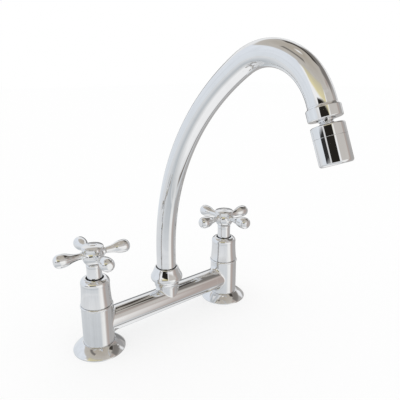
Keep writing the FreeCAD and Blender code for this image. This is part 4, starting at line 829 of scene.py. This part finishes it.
def make_wiper():
    """Black ring between the nut and the spout."""
    low, high, outer = foot("spout_wiper"), top("spout_wiper"), reach("spout_wiper")
    inner = TUBE_RADIUS + SLIDE_FIT
    return turned([(inner, low), (outer, low), (outer, high), (inner, high)], WIPER_EDGE)


SPOUT_TURN = LOW_BEND_ANGLE + TOP_BEND_ANGLE
SPOUT_WAY = Vector((0, -sin(SPOUT_TURN), cos(SPOUT_TURN)))
SPOUT_END = joint_anchor("aerator_tilt") - SPOUT_WAY * BALL_CENTRE


def make_tube():
    """Swan neck: a ring pulled up, then turned round the centre of each bend, and given its wall."""
    low = foot("spout_tube")
    bpy.ops.object.select_all(action="DESELECT")
    bpy.ops.mesh.primitive_circle_add(vertices=ROUND_STEPS, radius=TUBE_RADIUS, location=(0, 0, low))
    bpy.ops.object.mode_set(mode="EDIT")
    bpy.ops.mesh.select_all(action="SELECT")
    bpy.ops.mesh.extrude_region_move(TRANSFORM_OT_translate={"value": (0, 0, RISER_TOP - low)})
    inward = LOW_BEND - TOP_BEND
    top_centre = (0, -LOW_BEND + inward * cos(LOW_BEND_ANGLE), RISER_TOP + inward * sin(LOW_BEND_ANGLE))
    for steps, angle, centre in (
            (LOW_BEND_STEPS, LOW_BEND_ANGLE, (0, -LOW_BEND, RISER_TOP)),
            (TOP_BEND_STEPS, TOP_BEND_ANGLE, top_centre)):
        bpy.ops.mesh.spin(steps=steps, angle=angle, center=centre, axis=(-1, 0, 0), use_auto_merge=False)
    bpy.ops.mesh.extrude_region_move(TRANSFORM_OT_translate={"value": tuple(SPOUT_WAY * TIP_STRAIGHT)})
    piece = applied(cleaned(), "SOLIDIFY", thickness=TUBE_WALL, offset=-1, use_even_offset=True)
    return eased(piece, TUBE_EDGE)


# ---------------------------------------------------------------------------------------------------------
# Aerator
# ---------------------------------------------------------------------------------------------------------

def at_tip(piece):
    """Puts an upright piece on the axis of the spout's end, +Z the way the water leaves."""
    return placed(piece, *SPOUT_END, about=(SPOUT_TURN, 0, 0))


def make_ferrule():
    """Brazed stub in the spout's end, its conical collar and its thread."""
    stub = TUBE_RADIUS - TUBE_WALL - SLIDE_FIT
    thread_end = FERRULE_COLLAR_HEIGHT + FERRULE_THREAD_LENGTH
    return at_tip(turned([
        (FERRULE_BORE, -FERRULE_STUB), (stub, -FERRULE_STUB), (stub, 0), (TUBE_RADIUS + RUN_FIT, 0),
        (FERRULE_COLLAR, FERRULE_COLLAR_HEIGHT, FERRULE_COLLAR_ARC, RIGHT_TURN),
        (FERRULE_THREAD, FERRULE_COLLAR_HEIGHT), (FERRULE_THREAD, thread_end), (FERRULE_BORE, thread_end)],
        FERRULE_EDGE))


def make_aerator_nut():
    """Plain round nut with chamfered ends, screwed on the ferrule."""
    low, high = FERRULE_COLLAR_HEIGHT, AERATOR_NUT_END
    thread, edge = FERRULE_THREAD + RUN_FIT, AERATOR_NUT_RADIUS - AERATOR_NUT_CHAMFER
    return at_tip(turned([
        (thread, low), (edge, low), (AERATOR_NUT_RADIUS, low + AERATOR_NUT_CHAMFER),
        (AERATOR_NUT_RADIUS, high - AERATOR_NUT_CHAMFER), (edge, high), (AERATOR_NUT_HOLE, high),
        (AERATOR_NUT_HOLE, AERATOR_NUT_FLOOR), (thread, AERATOR_NUT_FLOOR)], AERATOR_NUT_EDGE))


def make_ball_stem():
    """Flanged stem, waisted over the ball that the head tilts on."""
    side, side_z = BALL_RADIUS * sin(BALL_NECK_ANGLE), BALL_CENTRE - BALL_RADIUS * cos(BALL_NECK_ANGLE)
    mouth, mouth_z = BALL_RADIUS * sin(BALL_MOUTH_ANGLE), BALL_CENTRE + BALL_RADIUS * cos(BALL_MOUTH_ANGLE)
    return at_tip(turned([
        (BALL_BORE, STEM_TOP), (BALL_BORE, mouth_z), (mouth, mouth_z),
        (BALL_RADIUS, BALL_CENTRE, BALL_RADIUS, RIGHT_TURN), (side, side_z, BALL_RADIUS, RIGHT_TURN),
        (STEM_WAIST, WAIST_REACH), (STEM_RADIUS, WAIST_REACH - STEM_TAPER),
        (STEM_RADIUS, AERATOR_NUT_FLOOR), (STEM_FLANGE, AERATOR_NUT_FLOOR), (STEM_FLANGE, STEM_TOP)],
        STEM_EDGE))


def make_swivel_socket():
    """Upper housing with its lip over the ball and its sleeve inside the lower one."""
    hollow = BALL_RADIUS + BALL_FIT
    lip = sqrt(hollow ** 2 - (BALL_CENTRE - HEAD_TOP) ** 2)
    return at_tip(turned([
        (lip, HEAD_TOP), (HEAD_RADIUS - HEAD_TOP_ARC, HEAD_TOP),
        (HEAD_RADIUS, HEAD_TOP + HEAD_TOP_ARC, HEAD_TOP_ARC, LEFT_TURN), (HEAD_RADIUS, HEAD_JOINT),
        (SLEEVE_RADIUS, HEAD_JOINT), (SLEEVE_RADIUS, SLEEVE_END), (SEAT_BORE, SLEEVE_END),
        (SEAT_BORE, BALL_CENTRE), (hollow, BALL_CENTRE), (lip, HEAD_TOP, hollow, RIGHT_TURN)],
        HEAD_EDGE, closed=False))


def make_nozzle_housing():
    """Lower housing that turns on the sleeve, with its rounded end and its mouth."""
    low, shelf, bore = HEAD_JOINT + RUN_FIT, SLEEVE_END + RUN_FIT, SLEEVE_RADIUS + RUN_FIT
    return at_tip(turned([
        (bore, low), (HEAD_RADIUS, low), (HEAD_RADIUS, HEAD_END - HEAD_END_ARC),
        (HEAD_RADIUS - HEAD_END_ARC, HEAD_END, HEAD_END_ARC, LEFT_TURN), (MOUTH_RADIUS, HEAD_END),
        (MOUTH_RADIUS, HEAD_END - PLATE_RECESS), (JET_BORE, HEAD_END - PLATE_RECESS), (JET_BORE, SCREEN_SEAT),
        (SHELF_BORE, SCREEN_SEAT), (SHELF_BORE, shelf), (bore, shelf)], HEAD_EDGE))


# ---------------------------------------------------------------------------------------------------------
# The pieces in their places
# ---------------------------------------------------------------------------------------------------------

for kind, make, slot, rider in (
        ("flange", make_flange, "chrome", None),
        ("bonnet_cover", make_bonnet, "chrome", None),
        ("guide_ring", make_guide_ring, "nylon", None),
        ("handle_skirt", make_skirt, "chrome", "handle"),
        ("cross_handle", make_handle, "chrome", "handle"),
        ("index_cap", make_index_cap, "chrome", "handle"),
        ("index_button", make_button, "chrome", "handle")):
    left = make()
    right = copied(left)
    for piece, side, turn in ((left, "left", LEFT_HANDLE_TURN), (right, "right", RIGHT_HANDLE_TURN)):
        placed(piece, x=middle(f"{side}_flange"), about=(0, 0, turn if kind == "cross_handle" else 0))
        dressed(piece, f"{side}_{kind}", f"{side}_{rider}" if rider else "root", slot)

left = make_pillar()
right = copied(left, about=(0, 0, pi))
dressed(placed(left, x=middle("left_flange")), "left_pillar", "root")
dressed(placed(right, x=middle("right_flange")), "right_pillar", "root")

right = make_bridge_pipe()
left = copied(right, about=(0, 0, pi))
dressed(left, "left_bridge_pipe", "root")
dressed(right, "right_bridge_pipe", "root")

dressed(make_tee(), "spout_tee", "root")
dressed(make_spout_nut(), "spout_nut", "root")
dressed(make_wiper(), "spout_wiper", "root", "rubber")
dressed(make_tube(), "spout_tube", "spout")
dressed(make_ferrule(), "spout_ferrule", "spout")
dressed(make_aerator_nut(), "aerator_nut", "spout")
dressed(make_ball_stem(), "ball_stem", "aerator_stem")
dressed(make_swivel_socket(), "swivel_socket", "swivel_head")
dressed(make_nozzle_housing(), "nozzle_housing", "nozzle")


# ---------------------------------------------------------------------------------------------------------
# Studio
# ---------------------------------------------------------------------------------------------------------

CAMERA_PLACE = Vector((-0.3070, -0.4363, 0.3242))
CAMERA_TARGET = Vector((0.04490, -0.01375, 0.15851))
CAMERA_SENSOR, CAMERA_LENS = 36, 40.62     # millimetres
STUDIO_CENTRE = Vector((0, 0, 0.12))
STUDIO_RADIUS = 3.0                        # metres, for a card whose nearness is 1
ALL_ROUND = (-180, 180)
CARD_STEP = radians(4)                     # between a card's vertices
CARD_CLOUD = 0.05                          # unevenness of a card's light, and the levels of its noise
CLOUD_LEVELS = (0.3, 0.7)
FLOOR_SIZE = 12                            # metres
BACKGROUND_WHITE = 0.65                    # share of plain white in what the camera sees of the floor
TOWARDS_CAMERA = atan2(CAMERA_PLACE.y - CAMERA_TARGET.y, CAMERA_PLACE.x - CAMERA_TARGET.x)


def make_camera():
    """The photograph's view."""
    data = bpy.data.cameras.new("Camera")
    data.sensor_width, data.lens = CAMERA_SENSOR, CAMERA_LENS
    camera = bpy.data.objects.new("Camera", data)
    bpy.context.scene.collection.objects.link(camera)
    camera.location = CAMERA_PLACE
    camera.rotation_euler = (CAMERA_TARGET - CAMERA_PLACE).to_track_quat("-Z", "Y").to_euler()
    bpy.context.scene.camera = camera


def glowing(name, low_colour, high_colour, spread, turn, feather):
    """Light of a card: its colour goes from its foot to its top, and its edges fade out.

    The card's own frame has its middle on +X. Spread is its half width, foot and top there, in radians.
    """
    material = bpy.data.materials.new(name)
    material.use_nodes = True
    tree = material.node_tree
    tree.nodes.clear()
    place = tree.nodes.new("ShaderNodeTexCoord").outputs["Object"]
    local = node(tree, "ShaderNodeMapping", {
        "Vector": place, "Location": STUDIO_CENTRE, "Rotation": turn}, vector_type="TEXTURE").outputs[0]
    parts = node(tree, "ShaderNodeSeparateXYZ", {"Vector": local}).outputs
    half, low, high = spread
    side = maths(tree, "ABSOLUTE", maths(tree, "ARCTAN2", parts[1], parts[0]))
    level = maths(tree, "ARCTAN2", parts[2], node(tree, "ShaderNodeVectorMath", {
        0: node(tree, "ShaderNodeCombineXYZ", {"X": parts[0], "Y": parts[1]}).outputs[0]},
        operation="LENGTH").outputs["Value"])
    tone = blended(tree, between(tree, level, low, high), low_colour, high_colour)
    cloud = between(tree, noise(tree, local, 1.1, detail=3.0, roughness=0.55), *CLOUD_LEVELS,
                    1 - CARD_CLOUD, 1 + CARD_CLOUD)
    glow = node(tree, "ShaderNodeEmission", {"Color": tone, "Strength": cloud})
    fade = maths(tree, "MULTIPLY", between(tree, side, half, half - feather),
                 maths(tree, "MULTIPLY", between(tree, level, low, low + feather),
                       between(tree, level, high, high - feather)))
    clear = tree.nodes.new("ShaderNodeBsdfTransparent")
    mix = node(tree, "ShaderNodeMixShader", {0: fade, 1: clear.outputs[0], 2: glow.outputs[0]})
    tree.links.new(mix.outputs[0], tree.nodes.new("ShaderNodeOutputMaterial").inputs["Surface"])
    return material


def card(name, way, height, low_colour, high_colour, nearness, feather=3.0, lift=0.0, tilt=0.0):
    """A curved card round the object that only the reflections see.

    Its angles are degrees: way is from the camera's side, + to its right, and height from the horizon.
    A bar has its height about zero, and is then tilted and lifted.
    """
    radius = STUDIO_RADIUS * nearness
    low, high = (radians(angle) for angle in height)
    steps = max(ceil((high - low) / CARD_STEP), 2)
    angles = [low + (high - low) * step / steps for step in range(steps + 1)]
    drawn([Vector((radius * cos(a), radius * sin(a))) for a in angles])
    sweep = radians(way[1] - way[0])
    bpy.ops.mesh.spin(steps=max(ceil(sweep / CARD_STEP), 2), angle=sweep, center=(0, 0, 0), axis=(0, 0, -1))
    piece = placed(cleaned(), about=(0, 0, -sweep / 2))
    turn = (radians(tilt), radians(-lift), TOWARDS_CAMERA + radians(way[0] + way[1]) / 2)
    placed(piece, *STUDIO_CENTRE, about=turn)
    piece.name = name
    half = sweep / 2 if way != ALL_ROUND else 2 * pi    # a card all round has no side that fades
    spread = (half, low, high)
    piece.data.materials.append(glowing(name, low_colour, high_colour, spread, turn, radians(feather)))
    for ray in ("camera", "diffuse", "transmission", "volume_scatter", "shadow"):
        setattr(piece, f"visible_{ray}", False)


def make_floor():
    """White worktop that fades into the background and that the reflections leave out."""
    bpy.ops.object.select_all(action="DESELECT")
    bpy.ops.mesh.primitive_plane_add(size=FLOOR_SIZE, location=(0, 0, 0))
    floor = bpy.context.object
    floor.name = "Floor"
    material, tree, shader, place = finish("White worktop")
    tinted(tree, shader, noise(tree, place, 3.0), clean=(0.975, 0.975, 0.975), soiled=(0.985, 0.985, 0.985))
    shader.inputs["Roughness"].default_value = 0.9
    shader.inputs["Specular IOR Level"].default_value = 0.0
    camera_ray = tree.nodes.new("ShaderNodeLightPath").outputs["Is Camera Ray"]
    seen = maths(tree, "MULTIPLY", camera_ray, BACKGROUND_WHITE)
    glow = node(tree, "ShaderNodeEmission", {"Color": (1, 1, 1, 1), "Strength": 1.0})
    mix = node(tree, "ShaderNodeMixShader", {0: seen, 1: shader.outputs[0], 2: glow.outputs[0]})
    tree.links.new(mix.outputs[0], tree.nodes["Material Output"].inputs["Surface"])
    floor.data.materials.append(material)
    floor.visible_glossy = False


def make_world():
    """Even white light from all round."""
    world = bpy.data.worlds.new("Soft white room")
    world.use_nodes = True
    background = world.node_tree.nodes["Background"]
    background.inputs["Color"].default_value = (1, 1, 1, 1)
    background.inputs["Strength"].default_value = 1.0
    bpy.context.scene.world = world


make_camera()
make_floor()
make_world()
# a card's name, way, height, colours at its foot and top, nearness, feather, lift and tilt
for row in (
        ("Worktop glow", ALL_ROUND, (-66, -44), (1.0, 1.0, 1.0), (0.57, 0.59, 0.60), 1.5),
        ("Near worktop", ALL_ROUND, (-46, -24), (0.51, 0.545, 0.57), (0.76, 0.78, 0.80), 1.45, 2),
        ("Far worktop", ALL_ROUND, (-26, -6), (0.75, 0.77, 0.79), (0.90, 0.90, 0.90), 1.48, 2),
        ("Upper wall", ALL_ROUND, (34, 89), (0.60, 0.575, 0.54), (0.46, 0.41, 0.34), 1.5, 6),
        ("Left wall", (-182, -58), (-19, 44), (0.80, 0.84, 0.88), (0.83, 0.87, 0.93), 1.4, 4),
        ("Front wall", (-66, 26), (-16, 12), (0.72, 0.725, 0.73), (0.80, 0.80, 0.80), 1.4, 4),
        ("Right wall", (74, 182), (-44, 54), (0.48, 0.47, 0.465), (0.42, 0.40, 0.38), 1.4, 2),
        ("Worktop seam", (58, 152), (-56, -49), (0.22, 0.19, 0.17), (0.22, 0.19, 0.17), 1.2, 2),
        ("Pink wall", (58, 96), (-40, 50), (0.49, 0.425, 0.395), (0.46, 0.39, 0.355), 1.3, 6),
        ("Dark cabinet", (78, 152), (26, 56), (0.25, 0.235, 0.22), (0.19, 0.175, 0.16), 1.28, 7),
        ("Back wall", (146, 222), (17, 47), (0.88, 0.89, 0.90), (0.92, 0.92, 0.92), 1.3, 4),
        ("Right dark beam", (96, 176), (51, 66), (0.05, 0.045, 0.04), (0.07, 0.06, 0.05), 1.25, 3),
        ("Left dark beam", (-100, -26), (58, 70), (0.20, 0.185, 0.17), (0.16, 0.15, 0.14), 1.25, 5),
        ("Back screen", (158, 202), (-13, 20), (0.22, 0.22, 0.22), (0.30, 0.30, 0.30), 1.25, 4),
        ("Side window", (118, 150), (4, 30), (0.85, 0.86, 0.88), (0.95, 0.95, 0.95), 1.25, 6),
        ("Warm lamp", (-50, 20), (24, 48), (0.86, 0.77, 0.44), (0.60, 0.56, 0.44), 0.6, 5),
        ("Beige wall", (18, 84), (14, 42), (0.64, 0.61, 0.575), (0.58, 0.55, 0.515), 1.2, 6),
        ("Bright window", (28, 76), (-58, 20), (0.90, 0.90, 0.89), (1.05, 1.04, 1.01), 1.1, 16),
        ("Narrow dark bar", (-70, -38), (-3.5, 3.5), (0.03, 0.03, 0.03), (0.03, 0.03, 0.03), 0.4, 1.5, 4, 23),
        ("Wide dark bar", (-32, 14), (-8, 8), (0.02, 0.018, 0.015), (0.02, 0.018, 0.015), 0.4, 1.5, 19.5, 10)
):
    card(*row)

bpy.context.scene.view_settings.view_transform = "Standard"
